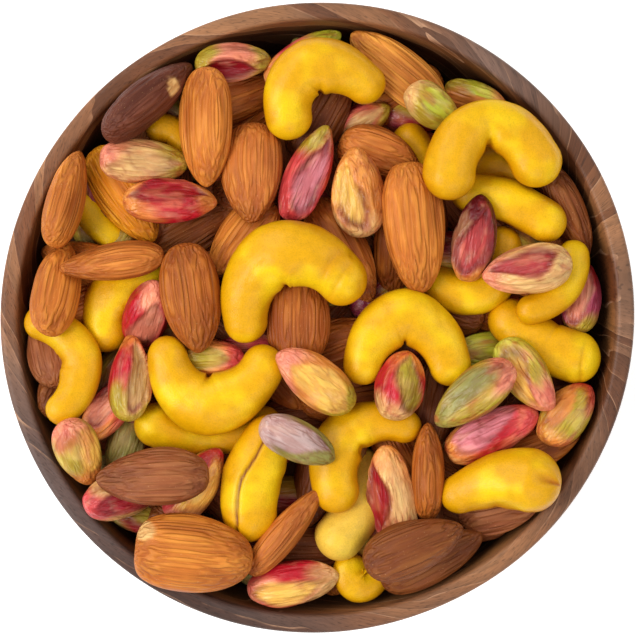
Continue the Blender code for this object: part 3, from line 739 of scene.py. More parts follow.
def merged_mesh(name: str, surfaces: list[Surface]) -> bpy.types.Object:
    """One mesh object of many closed ring surfaces.

    A surface's corners are numbered on from those of the surfaces before it.

    Args:
        name: Name of the object.
        surfaces: The surfaces, in millimetres.

    Returns:
        The object, with smooth faces, a UV map that unrolls each surface, and the stored values.
    """
    points, quads, triangles, quad_uv, triangle_uv = [], [], [], [], []
    start = 0
    for surface in surfaces:
        four, three, uv = ring_faces(*surface.rings.shape[:2])
        quads.append(start + four)
        triangles.append(start + three)
        quad_uv.append(uv[: four.size])
        triangle_uv.append(uv[four.size :])
        points.append(surface.points())
        start += len(points[-1])
    quads, triangles = np.concatenate(quads), np.concatenate(triangles)
    mesh = bpy.data.meshes.new(name)
    mesh.vertices.add(start)
    mesh.vertices.foreach_set("co", (np.concatenate(points) * MM).astype(np.float32).ravel())
    loops = np.concatenate([quads.ravel(), triangles.ravel()]).astype(np.int32)
    mesh.loops.add(len(loops))
    mesh.loops.foreach_set("vertex_index", loops)
    starts = np.concatenate([np.arange(len(quads)) * 4, quads.size + np.arange(len(triangles)) * 3])
    mesh.polygons.add(len(starts))
    mesh.polygons.foreach_set("loop_start", starts.astype(np.int32))
    mesh.polygons.foreach_set("use_smooth", np.ones(len(starts), bool))
    unrolled = mesh.uv_layers.new(name="unrolled")
    unrolled.data.foreach_set("uv", np.concatenate(quad_uv + triangle_uv).astype(np.float32).ravel())
    for key in surfaces[0].stored:
        values = np.concatenate([surface.stored[key] for surface in surfaces])
        if key == "tint":
            layer = mesh.attributes.new(key, "FLOAT_COLOR", "POINT")
            values = np.column_stack([np.clip(values, 0, 1), np.ones(len(values))])
            layer.data.foreach_set("color", values.astype(np.float32).ravel())
        else:
            layer = mesh.attributes.new(key, "FLOAT_VECTOR", "POINT")
            layer.data.foreach_set("vector", values.astype(np.float32).ravel())
    mesh.update(calc_edges=True)
    mesh.validate()
    made = bpy.data.objects.new(name, mesh)
    bpy.context.scene.collection.objects.link(made)
    return made


@dataclass
class Bowl:
    """A thick-walled bowl turned from one block, slightly longer along its long axis."""

    radius: float = 66.0
    height: float = 50.0
    foot_radius: float = 37.0
    foot_chamfer: float = 1.2
    rim_width: float = 3.8
    rim_rounding: float = 1.1
    floor: float = 6.0
    floor_radius: float = 33.0
    straight_share: float = 0.28
    belly: float = 2.2
    out_of_round: float = 0.005
    long_axis: float = 30.0
    unevenness: float = 0.18
    sides: int = 360
    warm: str = "#ae784f"
    brown: str = "#93694e"
    grey: str = "#735d56"
    oiled_inside: str = "#a8703f"
    # Sides to either side of each over which the drift of the grain is evened out.
    grain_smoothing: int = 8
    # Angle of the grain from the rim's own run, by the angle round the rim.
    grain: tuple[tuple[float, float], ...] = (
        (8, 90), (31, 56), (39, 41), (64, 21), (79, 25), (98, 18), (119, 17), (134, 0), (157, -25),
        (185, -21), (199, -25), (225, -8), (262, 12), (278, 26), (307, 0), (339, -25), (356, -70),
    )

    def flare(self, share: np.ndarray) -> np.ndarray:
        """Share of the full spread that the wall has reached at this share of its height."""
        return self.straight_share * share + (1 - self.straight_share) * (1 - (1 - share) ** self.belly)

    def outer_radius(self, z: np.ndarray) -> np.ndarray:
        """Radius of the outside at a height."""
        return self.foot_radius + (self.radius - self.foot_radius) * self.flare(z / self.height)

    def inner_radius(self, z: np.ndarray) -> np.ndarray:
        """Radius of the inside at a height."""
        share = (z - self.floor) / (self.height - self.floor)
        return self.floor_radius + (self.radius - self.rim_width - self.floor_radius) * self.flare(share)

    def roundness(self, x: np.ndarray, y: np.ndarray) -> np.ndarray:
        """How far the bowl reaches in this direction, as a share of its plain radius."""
        return 1 + self.out_of_round * np.cos(2 * (np.arctan2(y, x) - math.radians(self.long_axis)))

    def upper_level(self, radius: np.ndarray) -> np.ndarray:
        """Height of the upper surface at a radius: the floor, the wall, then the rim."""
        z = np.linspace(self.floor, self.height, 60)
        return np.interp(radius, self.inner_radius(z), z)

    def clearing_move(self, points: np.ndarray, clearance: float) -> np.ndarray:
        """Smallest move, up or inwards, that takes these points clear of the bowl.

        Args:
            points: Points of one nut.
            clearance: Gap to keep.

        Returns:
            The move along X, Y and Z.
        """
        radius = np.hypot(points[:, 0], points[:, 1]) / self.roundness(points[:, 0], points[:, 1])
        low = points[:, 2] < self.height + clearance
        if not low.any():
            return np.zeros(3)
        z = np.clip(points[low, 2], self.floor, self.height)
        inwards = (radius[low] - self.inner_radius(z) + clearance).max()
        if inwards <= 0:
            return np.zeros(3)
        over = radius > self.radius - self.rim_width - clearance
        upwards = (self.height + clearance - points[over, 2]).max() if over.any() else np.inf
        if upwards < inwards:
            return np.array([0.0, 0.0, upwards])
        middle = points[:, :2].mean(axis=0)
        return np.append(-middle / np.linalg.norm(middle) * inwards, 0.0)

    def profile(self) -> np.ndarray:
        """Radius and height up the outside, over the rim and down inside.

        Returns:
            One row for each ring, from the middle of the foot to that of the floor.
        """
        top = self.height - self.rim_rounding
        up = np.linspace(0.03, 1, 44) * top
        quarter = np.linspace(0, math.pi / 2, 9)
        outer_edge = self.outer_radius(top) - self.rim_rounding
        inner_edge = self.inner_radius(top) + self.rim_rounding
        rise = self.rim_rounding * np.sin(quarter)
        reach = self.rim_rounding * np.cos(quarter)
        flat = np.linspace(outer_edge, inner_edge, 6)[1:-1]
        down = np.linspace(1, 0, 40) * (top - self.floor) + self.floor
        foot = np.linspace(0.15, 1, 8) * (self.foot_radius - self.foot_chamfer)
        floor = np.linspace(1, 0.15, 6)[1:] * self.floor_radius
        parts = [
            np.column_stack([foot, np.zeros_like(foot)]),
            np.column_stack([self.outer_radius(up), up]),
            np.column_stack([outer_edge + reach[1:], top + rise[1:]]),
            np.column_stack([flat, np.full_like(flat, self.height)]),
            np.column_stack([inner_edge - rise[:-1], top + reach[:-1]]),
            np.column_stack([self.inner_radius(down), down]),
            np.column_stack([floor, np.full_like(floor, self.floor)]),
        ]
        return np.concatenate(parts)

    def grain_run(self, angle: np.ndarray) -> np.ndarray:
        """Angle of the grain from the rim's own run, in radians, turning the short way between knots.

        Args:
            angle: Angles round the rim, in radians.

        Returns:
            The grain's angle at each.
        """
        at, run = np.radians(np.array(self.grain)).T
        doubled = [np.interp(angle, at, f(2 * run), period=2 * math.pi) for f in (np.sin, np.cos)]
        return np.arctan2(*doubled) / 2

    def surface(self) -> Surface:
        """The bowl's surface, with the run of the grain and the wood's broad colour stored.

        The grain's second coordinate runs across it: round the rim it adds up the sine of the
        grain's angle, and down the profile its cosine. The way along it is wound on a circle, in
        the first and third coordinates, so that the figure closes round the bowl.

        Returns:
            The closed surface.
        """
        profile = self.profile()
        angle = np.linspace(0, 2 * math.pi, self.sides, endpoint=False)
        unit = np.stack([np.cos(angle), np.sin(angle)], axis=1)
        radius = profile[:, :1] * self.roundness(unit[:, 0], unit[:, 1])
        height = np.broadcast_to(profile[:, 1:], radius.shape)
        uneven = layered_noise(np.column_stack([unit * 2.2, np.zeros(self.sides)]), 2, SEED)
        radius = radius + self.unevenness * uneven * np.clip(profile[:, 1:] / self.height, 0, 1)
        rings = np.stack([radius * unit[:, 0], radius * unit[:, 1], height], axis=2)
        ends = np.array([[0, 0, 0], [0, 0, self.floor]])
        step = np.linalg.norm(np.diff(profile, axis=0), axis=1)
        down = np.concatenate([[0], np.cumsum(step)])
        down -= down[np.argmax(profile[:, 1])]
        run = self.grain_run(angle)
        arc = self.radius * 2 * math.pi / self.sides
        shifts = range(-self.grain_smoothing, self.grain_smoothing + 1)
        drift = sum(np.roll(-np.sin(run), shift) for shift in shifts) / len(shifts) * arc
        drift -= drift.mean()
        across = np.cumsum(drift) - down[:, None] * np.cos(run)
        along = np.cumsum(np.cos(run)) * arc + down[:, None] * np.abs(np.sin(run))
        circle = np.cos(run).sum() * arc / (2 * math.pi)
        wound = np.stack([np.cos(along / circle), np.sin(along / circle)], axis=2) * circle
        grain = np.stack([wound[..., 0], across, wound[..., 1]], axis=2).reshape(-1, 3)
        grain = np.concatenate([grain, np.zeros((2, 3))])
        points = np.concatenate([rings.reshape(-1, 3), ends])
        return Surface(rings, ends, {"grain": grain, "tint": self.broad_colour(points)})

    def broad_colour(self, points: np.ndarray) -> np.ndarray:
        """Walnut that turns warmer and greyer round the bowl, and brown inside, with painted shade darkening
        the inside below the rim.

        Args:
            points: Points on the bowl.

        Returns:
            Linear colour at each.
        """
        warm, brown, grey = (linear(colour) for colour in (self.warm, self.brown, self.grey))
        broad = layered_noise(points / 26.0, 2, SEED + 5)[:, None]
        round_it = np.degrees(np.arctan2(points[:, 1], points[:, 0]))[:, None] % 360
        greyed = smoothstep(60, 20, np.abs(round_it - 232)) + 0.6 * smoothstep(30, 5, np.abs(round_it - 50))
        colour = warm + (brown - warm) * smoothstep(-0.3, 0.4, broad)
        colour = colour + (grey - colour) * np.clip(greyed, 0, 1)
        radius = np.hypot(points[:, 0], points[:, 1])
        wall_radius = self.inner_radius(np.clip(points[:, 2], self.floor, self.height))
        wall = (radius < wall_radius + 0.8) & (points[:, 2] > self.floor - 1)
        below_rim = self.height - points[:, 2]
        inside = (wall * smoothstep(0.0, 0.6, np.clip(below_rim / 6.0, 0, 1)))[:, None]
        # Painted shade: the inside goes darker from 2 to 8 mm below the rim, down to a quarter of its colour.
        painted_wall_shade = 1 - 0.75 * wall[:, None] * smoothstep(2.0, 8.0, below_rim)[:, None]
        return (colour + (linear(self.oiled_inside) - colour) * inside) * painted_wall_shade

    def build(self) -> bpy.types.Object:
        """The bowl in its finish.

        Returns:
            The object.
        """
        made = merged_mesh("walnut_bowl", [self.surface()])
        finish = OiledWalnut("oiled walnut", roughness=(0.42, 0.6), relief_mm=0.05, specular=0.4)
        made.data.materials.append(finish.material())
        return made


@dataclass(frozen=True)
class Resting:
    """A nut ready to be laid.

    It has its middle in plan and its layer and, about that middle, balls that fill it and its
    closed surface.
    """

    middle: np.ndarray
    layer: int
    balls: np.ndarray
    surface: Surface


@dataclass
class StraightNut:
    """What almonds and pistachio kernels share: an egg-shaped outline and a flattened section."""

    thickness: float
    bluntness: tuple[float, float]
    section: float
    rings: int
    sides: int

    def half_width(self, u: np.ndarray, width: float, blunt: float = 1.0) -> np.ndarray:
        """Half the width: u to one power times (1 - u) to another, its peak half of width.

        Args:
            u: Share of the length, from the blunt end.
            width: Width where it is widest.
            blunt: Factor on both powers.

        Returns:
            Half the width at each share.
        """
        start, tip = (power * blunt for power in self.bluntness)
        peak = (start / (start + tip)) ** start * (tip / (start + tip)) ** tip
        return width / 2 * u**start * (1 - u) ** tip / peak

    def relief(self, round_it: np.ndarray, along: np.ndarray, row: Kernel, seed: int) -> np.ndarray:
        """Depth of the surface's own relief, in millimetres.

        Args:
            round_it: Cosine and sine of each point's angle round its ring.
            along: Share of the length at each ring.
            row: The nut's row.
            seed: Which nut it is.

        Returns:
            Depth at each point of each ring, in millimetres.
        """
        raise NotImplementedError

    def tint(
        self, place: np.ndarray, u: np.ndarray, relief: np.ndarray, row: Kernel, seed: int
    ) -> np.ndarray:
        """Linear colour at each point.

        Args:
            place: Points in the nut's own frame, in millimetres.
            u: Share of the length at each.
            relief: Depth of the relief at each.
            row: The nut's row.
            seed: Which nut it is.

        Returns:
            Linear colour at each point.
        """
        raise NotImplementedError

    def resting(self, row: Kernel, seed: int) -> Resting:
        """The nut of one row.

        Each ring is a superellipse: the cosine and sine of the angle, each to 2 over the
        section's power, times the half-width and the half-thickness. Relief moves points
        along the ring's radius.

        Args:
            row: The nut's row.
            seed: Which nut it is.

        Returns:
            The nut, about its middle.
        """
        u = (1 - np.cos(np.linspace(0, math.pi, self.rings + 2))) / 2
        inner = u[1:-1]
        angle = np.linspace(0, 2 * math.pi, self.sides, endpoint=False)
        power = 2 / self.section
        flat = np.sign(np.cos(angle)) * np.abs(np.cos(angle)) ** power
        high = np.sign(np.sin(angle)) * np.abs(np.sin(angle)) ** power
        w = self.half_width(inner, row.width, row.blunt)[:, None]
        along = np.broadcast_to(((inner - 0.5) * row.length)[:, None], (self.rings, self.sides))
        round_it = np.stack([np.cos(angle), np.sin(angle)], axis=1)
        sunk = self.relief(round_it, inner, row, seed)
        scale = 1 - sunk / np.maximum(w, 1.0)
        rings = np.stack([along, w * flat * scale, w * self.thickness * high * scale], axis=2)
        ends = np.array([[-row.length / 2, 0, 0], [row.length / 2, 0, 0]])
        place = np.concatenate([rings.reshape(-1, 3), ends])
        at = np.concatenate([np.repeat(inner, self.sides), [0, 1]])
        depth = np.concatenate([sunk.ravel(), [0, 0]])
        tint = self.tint(place, at, depth, row, seed)
        turn = rotation(row.heading, row.pitch, row.roll).T
        stored = {"nut_place": place + PATTERN_STEP * (seed % 97), "tint": tint}
        points = place @ turn
        surface = Surface(points[:-2].reshape(rings.shape), points[-2:], stored)
        return Resting(np.array([row.x, row.y]), row.layer, self.balls(row), surface)

    def balls(self, row: Kernel) -> np.ndarray:
        """Middle and radius of balls that fill the nut, by which it settles.

        Args:
            row: The nut's row.

        Returns:
            One row for each ball: its middle, then its radius.
        """
        at = np.repeat([0.08, 0.25, 0.45, 0.65, 0.85], 3)
        half = self.half_width(at, row.width)
        aside = np.tile([-1, 0, 1], 5) * half * (1 - self.thickness)
        middles = np.stack([(at - 0.5) * row.length, aside, np.zeros(15)], axis=1)
        turn = rotation(row.heading, row.pitch, row.roll).T
        return np.column_stack([middles @ turn, half * self.thickness])


@dataclass
class Almond(StraightNut):
    """A whole almond in its skin."""

    thickness: float = 0.66
    bluntness: tuple[float, float] = (0.42, 0.6)
    section: float = 2.1
    rings: int = 46
    sides: int = 54
    groove_depth: float = 0.38
    wrinkle_depth: float = 0.14
    dent_depth: float = 0.35
    flesh: str = "#f0c27a"

    def relief(self, round_it: np.ndarray, along: np.ndarray, row: Kernel, seed: int) -> np.ndarray:
        """Narrow grooves where noise, drawn out along the nut, passes zero, over a few broad dents.

        Args:
            round_it: Cosine and sine of each point's angle round its ring.
            along: Share of the length at each ring.
            row: The nut's row; not used here.
            seed: Which nut it is.

        Returns:
            Depth at each point of each ring, in millimetres.
        """
        side = np.broadcast_to(round_it[None], (len(along), len(round_it), 2))
        length = np.broadcast_to(along[:, None], side.shape[:2])
        drawn = np.stack([side[..., 0] * 4.2, side[..., 1] * 4.2, length * 1.3], axis=2) + seed * 7.1
        grooves = (1 - np.abs(lattice_noise(drawn, seed))) ** 4
        wrinkles = (1 - np.abs(lattice_noise(drawn * (1.8, 1.8, 1.2), seed + 3))) ** 3
        coarse = np.stack([side[..., 0], side[..., 1], length * 2], axis=2) * 1.3 + seed
        dents = lattice_noise(coarse, seed + 1)
        fade = smoothstep(0, 0.1, length) * smoothstep(0, 0.1, 1 - length)
        sunk = self.groove_depth * grooves + self.wrinkle_depth * wrinkles + self.dent_depth * dents
        return fade * sunk

    def tint(
        self, place: np.ndarray, u: np.ndarray, relief: np.ndarray, row: Kernel, seed: int
    ) -> np.ndarray:
        """Skin colour, darker towards the tip, with painted shade in the grooves, uneven from patch to patch.

        Args:
            place: Points in the nut's own frame, in millimetres.
            u: Share of the length at each.
            relief: Depth of the relief at each.
            row: The nut's row.
            seed: Which nut it is.

        Returns:
            Linear colour at each point.
        """
        colour = linear(row.colours.value)[None]
        patch = layered_noise(place / (11.0, 4.0, 4.0) + seed * 3.3, 2, seed)[:, None]
        darker = 0.25 * smoothstep(0.75, 1.0, u) + 0.12 * smoothstep(0.15, 0.0, u)
        # Painted shade: the skin goes darker the deeper the relief sinks it.
        dark = darker[:, None] - 0.22 * patch + 0.9 * np.clip(relief, 0, 0.5)[:, None]
        colour = colour * (1.32, 1.62, 1.45) * np.exp(-dark * (0.9, 1.15, 1.4))
        if row.chip:
            along, aside, size = row.chip
            apart = np.hypot(place[:, 0] - along, place[:, 1] - aside) + 0.5 * patch[:, 0]
            bare = (smoothstep(size, size * 0.7, apart) * (place[:, 2] > 0))[:, None]
            colour = colour + (linear(self.flesh) - colour) * bare
        return colour


@dataclass
class Pistachio(StraightNut):
    """A shelled pistachio kernel, its two halves parted by a fine seam."""

    thickness: float = 0.88
    bluntness: tuple[float, float] = (0.45, 0.6)
    section: float = 2.25
    rings: int = 50
    sides: int = 52
    fold_depth: float = 0.22
    ripple_depth: float = 0.06
    facet_depth: float = 0.45
    seam_depth: float = 0.35
    red_skin: str = "#a8322e"
    worn_skin: str = "#e9c183"
    # Painted shade colour for the line just inside the edge of the sunk face.
    face_edge_shade: str = "#701618"
    crease_stain: str = "#a8543c"

    def face(self, angle: np.ndarray, u: np.ndarray, row: Kernel, seed: int) -> np.ndarray:
        """Distance from the middle of the hollow face: 1 on its oval edge, which wavers a little.

        Args:
            angle: Angle round the ring at each point, in radians.
            u: Share of the length at each.
            row: The nut's row.
            seed: Which nut it is.

        Returns:
            The distance at each point.
        """
        side = np.stack([np.cos(angle) * 1.4, np.sin(angle) * 1.4, u * 2.5], axis=-1)
        lean = 0.5 * math.sin(seed * 2.3) if row.lean is None else math.radians(row.lean)
        turned = angle - math.pi / 2 - lean
        turned = (turned + math.pi) % (2 * math.pi) - math.pi + 0.3 * np.sin(4 * u + seed)
        outline = np.hypot((u - 0.48) / 0.38, turned / (0.9 - 0.5 * u))
        return outline + 0.3 * layered_noise(side + seed * 1.7, 2, seed + 8)

    def relief(self, round_it: np.ndarray, along: np.ndarray, row: Kernel, seed: int) -> np.ndarray:
        """The hollow face with its raised edge, the seam along one side, folds and facets.

        Args:
            round_it: Cosine and sine of each point's angle round its ring.
            along: Share of the length at each ring.
            row: The nut's row.
            seed: Which nut it is.

        Returns:
            Depth at each point of each ring, in millimetres.
        """
        side = np.broadcast_to(round_it[None], (len(along), len(round_it), 2))
        length = np.broadcast_to(along[:, None], side.shape[:2])
        angle = np.arctan2(side[..., 1], side[..., 0])
        from_face = self.face(angle, length, row, seed)
        drawn = np.stack([side[..., 0] * 2.1, side[..., 1] * 2.1, length * 2.2], axis=2) + seed * 5.3
        folds = (1 - np.abs(lattice_noise(drawn, seed))) ** 3
        ripples = lattice_noise(drawn * 2.7, seed + 2)
        facets = lattice_noise(np.stack([side[..., 0], side[..., 1], length], axis=2) * 1.1 + seed, seed + 1)
        seam = np.exp(-((side[..., 1] + 0.16 * facets) ** 2) / 0.004) * (side[..., 0] > 0)
        lip = np.exp(-(((from_face - 1.12) / 0.15) ** 2))
        hollow = 0.6 * smoothstep(1.0, 0.84, from_face) + 0.5 * smoothstep(0.9, 0.2, from_face) - 0.45 * lip
        fade = smoothstep(0, 0.1, length) * smoothstep(0, 0.1, 1 - length)
        own = self.fold_depth * folds + self.ripple_depth * ripples
        own = own + self.facet_depth * facets + self.seam_depth * seam
        return fade * (own + row.hollow * (hollow + 0.12 * folds))

    def tint(
        self, place: np.ndarray, u: np.ndarray, relief: np.ndarray, row: Kernel, seed: int
    ) -> np.ndarray:
        """Flank colour, going over to that of each end, with the face set in, a painted shade line along its
        edge, painted shade where sunk and painted light on the raised lip.

        Args:
            place: Points in the nut's own frame, in millimetres.
            u: Share of the length at each.
            relief: Depth of the relief at each.
            row: The nut's row.
            seed: Which nut it is.

        Returns:
            Linear colour at each point.
        """
        start, face, tip, flank = (linear(hue.value) for hue in row.colours)
        streaky = layered_noise(place / (10.0, 4.0, 4.0) + seed * 4.7, 2, seed + 9)
        broken = layered_noise(place / (4.5, 2.6, 2.6) + seed * 2.9, 2, seed + 4)
        angle = np.arctan2(place[:, 2] / self.thickness, place[:, 1])
        from_face = self.face(angle, u, row, seed)
        ragged = from_face + 0.5 * streaky * (1 if row.hollow < 0.6 else 0.15)
        shifted = (u + 0.3 * streaky)[:, None]
        colour = flank + (start - flank) * smoothstep(0.36, 0.08, shifted)
        colour = colour + (tip - colour) * smoothstep(0.6, 0.9, shifted)
        colour = colour + (face - colour) * smoothstep(1.12, 0.82, ragged)[:, None]
        if row.colours[0] not in (Hue.SAGE, Hue.LILAC, Hue.OLIVE):
            skin = layered_noise(place / (6.0, 2.2, 2.2) + seed * 1.3, 3, seed + 12)
            colour = colour + (linear(self.red_skin) - colour) * 0.5 * smoothstep(0.12, 0.42, skin)[:, None]
        peeled = smoothstep(0.1, 0.45, broken + 0.3 * streaky)[:, None]
        colour = colour + (linear(self.worn_skin) - colour) * 0.16 * peeled
        # Painted shade: a dark line just inside the edge of the sunk face, stronger the deeper the hollow.
        edge = np.exp(-(((from_face - 0.92) / 0.15) ** 2)) * smoothstep(-0.6, 0.0, streaky)
        edge = (edge * min(row.hollow, 0.8))[:, None]
        colour = colour * (1 - edge) + linear(self.face_edge_shade) * edge
        drawn = np.stack([place[:, 0] * 0.22, place[:, 1] * 0.42, place[:, 2] * 0.42], axis=1) + seed * 5.3
        crease = smoothstep(0.14, 0.0, np.abs(layered_noise(drawn, 2, seed + 1)))
        crease = (0.55 * crease * smoothstep(-0.1, 0.3, layered_noise(drawn * 0.6 + 9, 1, seed + 6)))[:, None]
        colour = colour + (colour * linear(self.crease_stain) - colour) * crease
        # Painted light and shade: darker where the surface is sunk, lighter on the raised lip; broken adds
        # random brightness.
        lit = 1.28 + 0.3 * broken[:, None] - 0.45 * np.clip(relief / max(1.0, row.hollow), -0.3, 1.0)[:, None]
        return colour * lit


@dataclass
class Cashew:
    """A whole roasted cashew, yellow with turmeric."""

    rings: int = 88
    sides: int = 48
    flatness: float = 0.82
    # Swelling and depths are shares of half the thickness.
    swell: float = 0.13
    notch_depth: float = 0.1
    seam_depth: float = 0.035
    split_depth: float = 0.11
    cleft_depth: float = 0.3
    body: str = "#e4a604"
    bright: str = "#f7cb0e"
    # Painted shade colour, for the underside and the sunk places.
    deep: str = "#b96d00"
    bleached: str = "#f4d45c"
    roasted: str = "#7c3a06"

    def resting(self, row: Curl, seed: int) -> Resting:
        """The nut of one row: rings across its middle line, with round ends.

        At each end the thickness falls as the square root of 1 less the squared share of the
        way through the cap. Sides stand closest together on top, each at its even angle plus
        half that angle's cosine.

        Args:
            row: The nut's row.
            seed: Which nut it is.

        Returns:
            The nut, about its middle.
        """
        spine = curl_spine(row)
        length = np.linalg.norm(np.diff(spine, axis=0), axis=1).sum()
        sizes = np.array([row.first_size, row.middle_size, row.last_size]) / 2
        total = length + sizes[0] + sizes[2]
        s = (1 - np.cos(np.linspace(0, math.pi, self.rings + 2))) / 2 * total
        s = 0.55 * s + 0.45 * np.linspace(0, total, self.rings + 2) - sizes[0]
        centre, direction = along_spine(spine, s)
        before, beyond = np.minimum(s, 0) / sizes[0], np.maximum(s - length, 0) / sizes[2]
        half = np.interp(s / length, [0, 0.5, 1], sizes)
        cap = np.sqrt(np.maximum(1 - before**2 - beyond**2, 0))
        size = (half * cap)[1:-1]
        plan = (spine[0] + spine[-1] + 2 * spine[len(spine) // 2]) / 4
        angle = np.linspace(0, 2 * math.pi, self.sides, endpoint=False)
        angle = angle + 0.5 * np.cos(angle)
        aside = np.stack([-direction[:, 1], direction[:, 0]], axis=1)[1:-1]
        ab = np.array(row.middle) - np.array(row.first)
        bc = np.array(row.last) - np.array(row.middle)
        inner = 1.0 if ab[0] * bc[1] - ab[1] * bc[0] > 0 else -1.0
        share = ((s[1:-1] + sizes[0]) / total)[:, None]
        each = (np.cos(angle) * inner, np.sin(angle), share * total / 9)
        cell = np.stack([np.broadcast_to(part, (self.rings, self.sides)) for part in each], axis=2)
        split = self.split(cell, share) * row.split
        swell, sunk = self.relief(cell, share, row, seed)
        sunk = sunk + self.folded(cell, share, angle, row, seed) + self.split_depth * split
        filled = np.clip(cell[..., 0], 0, 1) * inner_fill(np.clip(s[1:-1] / length, 0, 1), spine)[:, None]
        radial = size[:, None] * (1 + swell - sunk + filled)
        out = (radial * np.cos(angle))[..., None] * aside[:, None, :]
        flat = (centre[1:-1] - plan)[:, None, :] + out
        up = radial * np.sin(angle) * self.flatness
        rings = np.concatenate([flat, up[..., None]], axis=2)
        ends = np.column_stack([centre[[0, -1]] - plan, [0, 0]])
        points = np.concatenate([rings.reshape(-1, 3), ends])
        tint = self.tint(points, np.append(sunk, [0, 0]), seed)
        tint = tint + (linear(self.bleached) - tint) * row.pale
        bare = np.clip(np.append(split, [0, 0]) * 1.2, 0, 1)[:, None]
        tint = tint + (linear(self.roasted) - tint) * bare
        stored = {"nut_place": points + PATTERN_STEP * (seed % 89), "tint": tint}
        ball_at = np.linspace(0, length, 7)
        ball_size = np.interp(ball_at / length, [0, 0.5, 1], sizes) * self.flatness
        balls = np.column_stack([along_spine(spine, ball_at)[0] - plan, np.zeros(7), ball_size])
        return Resting(plan, row.layer, balls, Surface(rings, ends, stored))

    def relief(
        self, cell: np.ndarray, share: np.ndarray, row: Curl, seed: int
    ) -> tuple[np.ndarray, np.ndarray]:
        """Swelling by noise and pleats, and what is sunk: a notch, a seam and a cleft.

        Each is a bell curve of the distance from its line: the notch is on the inner side
        half way along, the seam runs along that side, and the cleft parts the last end.

        Args:
            cell: Each point's side, 1 the inner one, its height from -1 to 1, and its way along.
            share: Share of the whole length at each ring.
            row: The nut's row.
            seed: Which nut it is.

        Returns:
            Swelling and depth at each point, as shares of half the thickness.
        """
        towards, up = cell[..., 0], cell[..., 1]
        swell = self.swell * layered_noise(cell * 0.9 + seed * 3.7, 2, seed)
        near_notch = np.exp(-((share - 0.5) ** 2) / 0.02) * smoothstep(-0.2, 0.8, towards)
        pleats = (1 - np.abs(lattice_noise(cell * (1.0, 1.0, 2.0) + seed * 2.1, seed + 5))) ** 4
        swell = swell - 0.05 * near_notch * pleats - 0.02 * pleats
        notch = np.exp(-((towards - 1) ** 2) / 0.03) * np.exp(-((share - 0.5) ** 2) / 0.03)
        fade = smoothstep(0.1, 0.35, share) * smoothstep(0.1, 0.35, 1 - share)
        seam = np.exp(-((up + 0.25 * swell / self.swell) ** 2) / 0.003) * (towards > 0)
        cleft = np.exp(-(((towards + 0.15) / 0.2) ** 2)) * smoothstep(0.76, 0.96, share)
        sunk = self.notch_depth * notch + self.seam_depth * seam * fade + self.cleft_depth * cleft * row.cleft
        return swell, sunk

    def split(self, cell: np.ndarray, share: np.ndarray) -> np.ndarray:
        """1 on a split that wanders along the top, falling off beside it and at its ends.

        Args:
            cell: Each point's side, 1 the inner one, its height from -1 to 1, and its way along.
            share: Share of the whole length at each ring.

        Returns:
            The level at each point.
        """
        wander = cell[..., 0] + 0.05 + 0.6 * share + 0.04 * np.sin(share * 14)
        opened = np.exp(-(wander**2) / 0.0022) * (cell[..., 1] > 0)
        return opened * smoothstep(0.1, 0.2, share) * smoothstep(0.04, 0.12, 1 - share)

    def folded(
        self, cell: np.ndarray, share: np.ndarray, angle: np.ndarray, row: Curl, seed: int
    ) -> np.ndarray:
        """Creases across the nut: at each a sharp bell curve of the distance within a broad one.

        Args:
            cell: Each point's side, 1 the inner one, its height from -1 to 1, and its way along.
            share: Share of the whole length at each ring.
            angle: Angle of each side round the ring, in radians.
            row: The nut's row.
            seed: Which nut it is.

        Returns:
            Depth at each point, as a share of half the thickness.
        """
        sunk = np.zeros(cell.shape[:2])
        for at in row.folds:
            across = share - at + 0.025 * np.sin(1.7 * angle[None] + seed + 9 * at)
            fading = smoothstep(0.1, 1.1, cell[..., 0] * math.cos(seed + 7 * at) + cell[..., 1])
            sharp, broad = np.exp(-((across / 0.014) ** 2)), np.exp(-((across / 0.05) ** 2))
            sunk = sunk + fading * (0.06 * sharp + 0.05 * broad)
        return sunk

    def tint(self, points: np.ndarray, sunk: np.ndarray, seed: int) -> np.ndarray:
        """Brighter in broad patches, with painted light on top and painted shade below and where it is sunk.

        Args:
            points: Points about the nut's middle.
            sunk: Depth at each.
            seed: Which nut it is.

        Returns:
            Linear colour at each point.
        """
        patch = layered_noise(points / 7.0 + seed * 1.9, 3, seed + 6)[:, None]
        # Painted light on top, and painted shade below and where the surface is sunk.
        lit_from_above = smoothstep(-2.5, 4.0, points[:, 2:3])
        colour = linear(self.body) + (linear(self.bright) - linear(self.body)) * smoothstep(-0.2, 0.5, patch)
        low = (1 - lit_from_above) * 0.85 + 3.0 * sunk[:, None]
        return colour + (linear(self.deep) - colour) * np.clip(low, 0, 1)


def curl_spine(row: Curl) -> np.ndarray:
    """Plan points along a cashew's middle line, at even shares of the way.

    It is part circular arc through the row's three points and part parabola pulled towards the
    middle one, whose bend is tighter there.

    Args:
        row: The nut's row.

    Returns:
        Points in plan from the first end to the last.
    """
    (ax, ay), (bx, by), (cx, cy) = ends = row.first, row.middle, row.last
    double_area = 2 * (ax * (by - cy) + bx * (cy - ay) + cx * (ay - by))
    a, b, c = (px * px + py * py for px, py in ends)
    centre_x = a * (by - cy) + b * (cy - ay) + c * (ay - by)
    centre_y = a * (cx - bx) + b * (ax - cx) + c * (bx - ax)
    centre = np.array([centre_x, centre_y]) / double_area
    start, end = (math.atan2(py - centre[1], px - centre[0]) for px, py in (row.first, row.last))
    sense = math.copysign(1.0, double_area)
    shares = np.linspace(0, 1, SPINE_POINTS)[:, None]
    angles = start + sense * ((sense * (end - start)) % (2 * math.pi)) * shares
    radius = math.hypot(ax - centre[0], ay - centre[1])
    arc = centre + radius * np.concatenate([np.cos(angles), np.sin(angles)], axis=1)
    first, middle, last = (np.array(point) for point in ends)
    pull = 2 * middle - (first + last) / 2
    parabola = (1 - shares) ** 2 * first + 2 * shares * (1 - shares) * pull + shares**2 * last
    return arc + CASHEW_SHARPNESS * (parabola - arc)


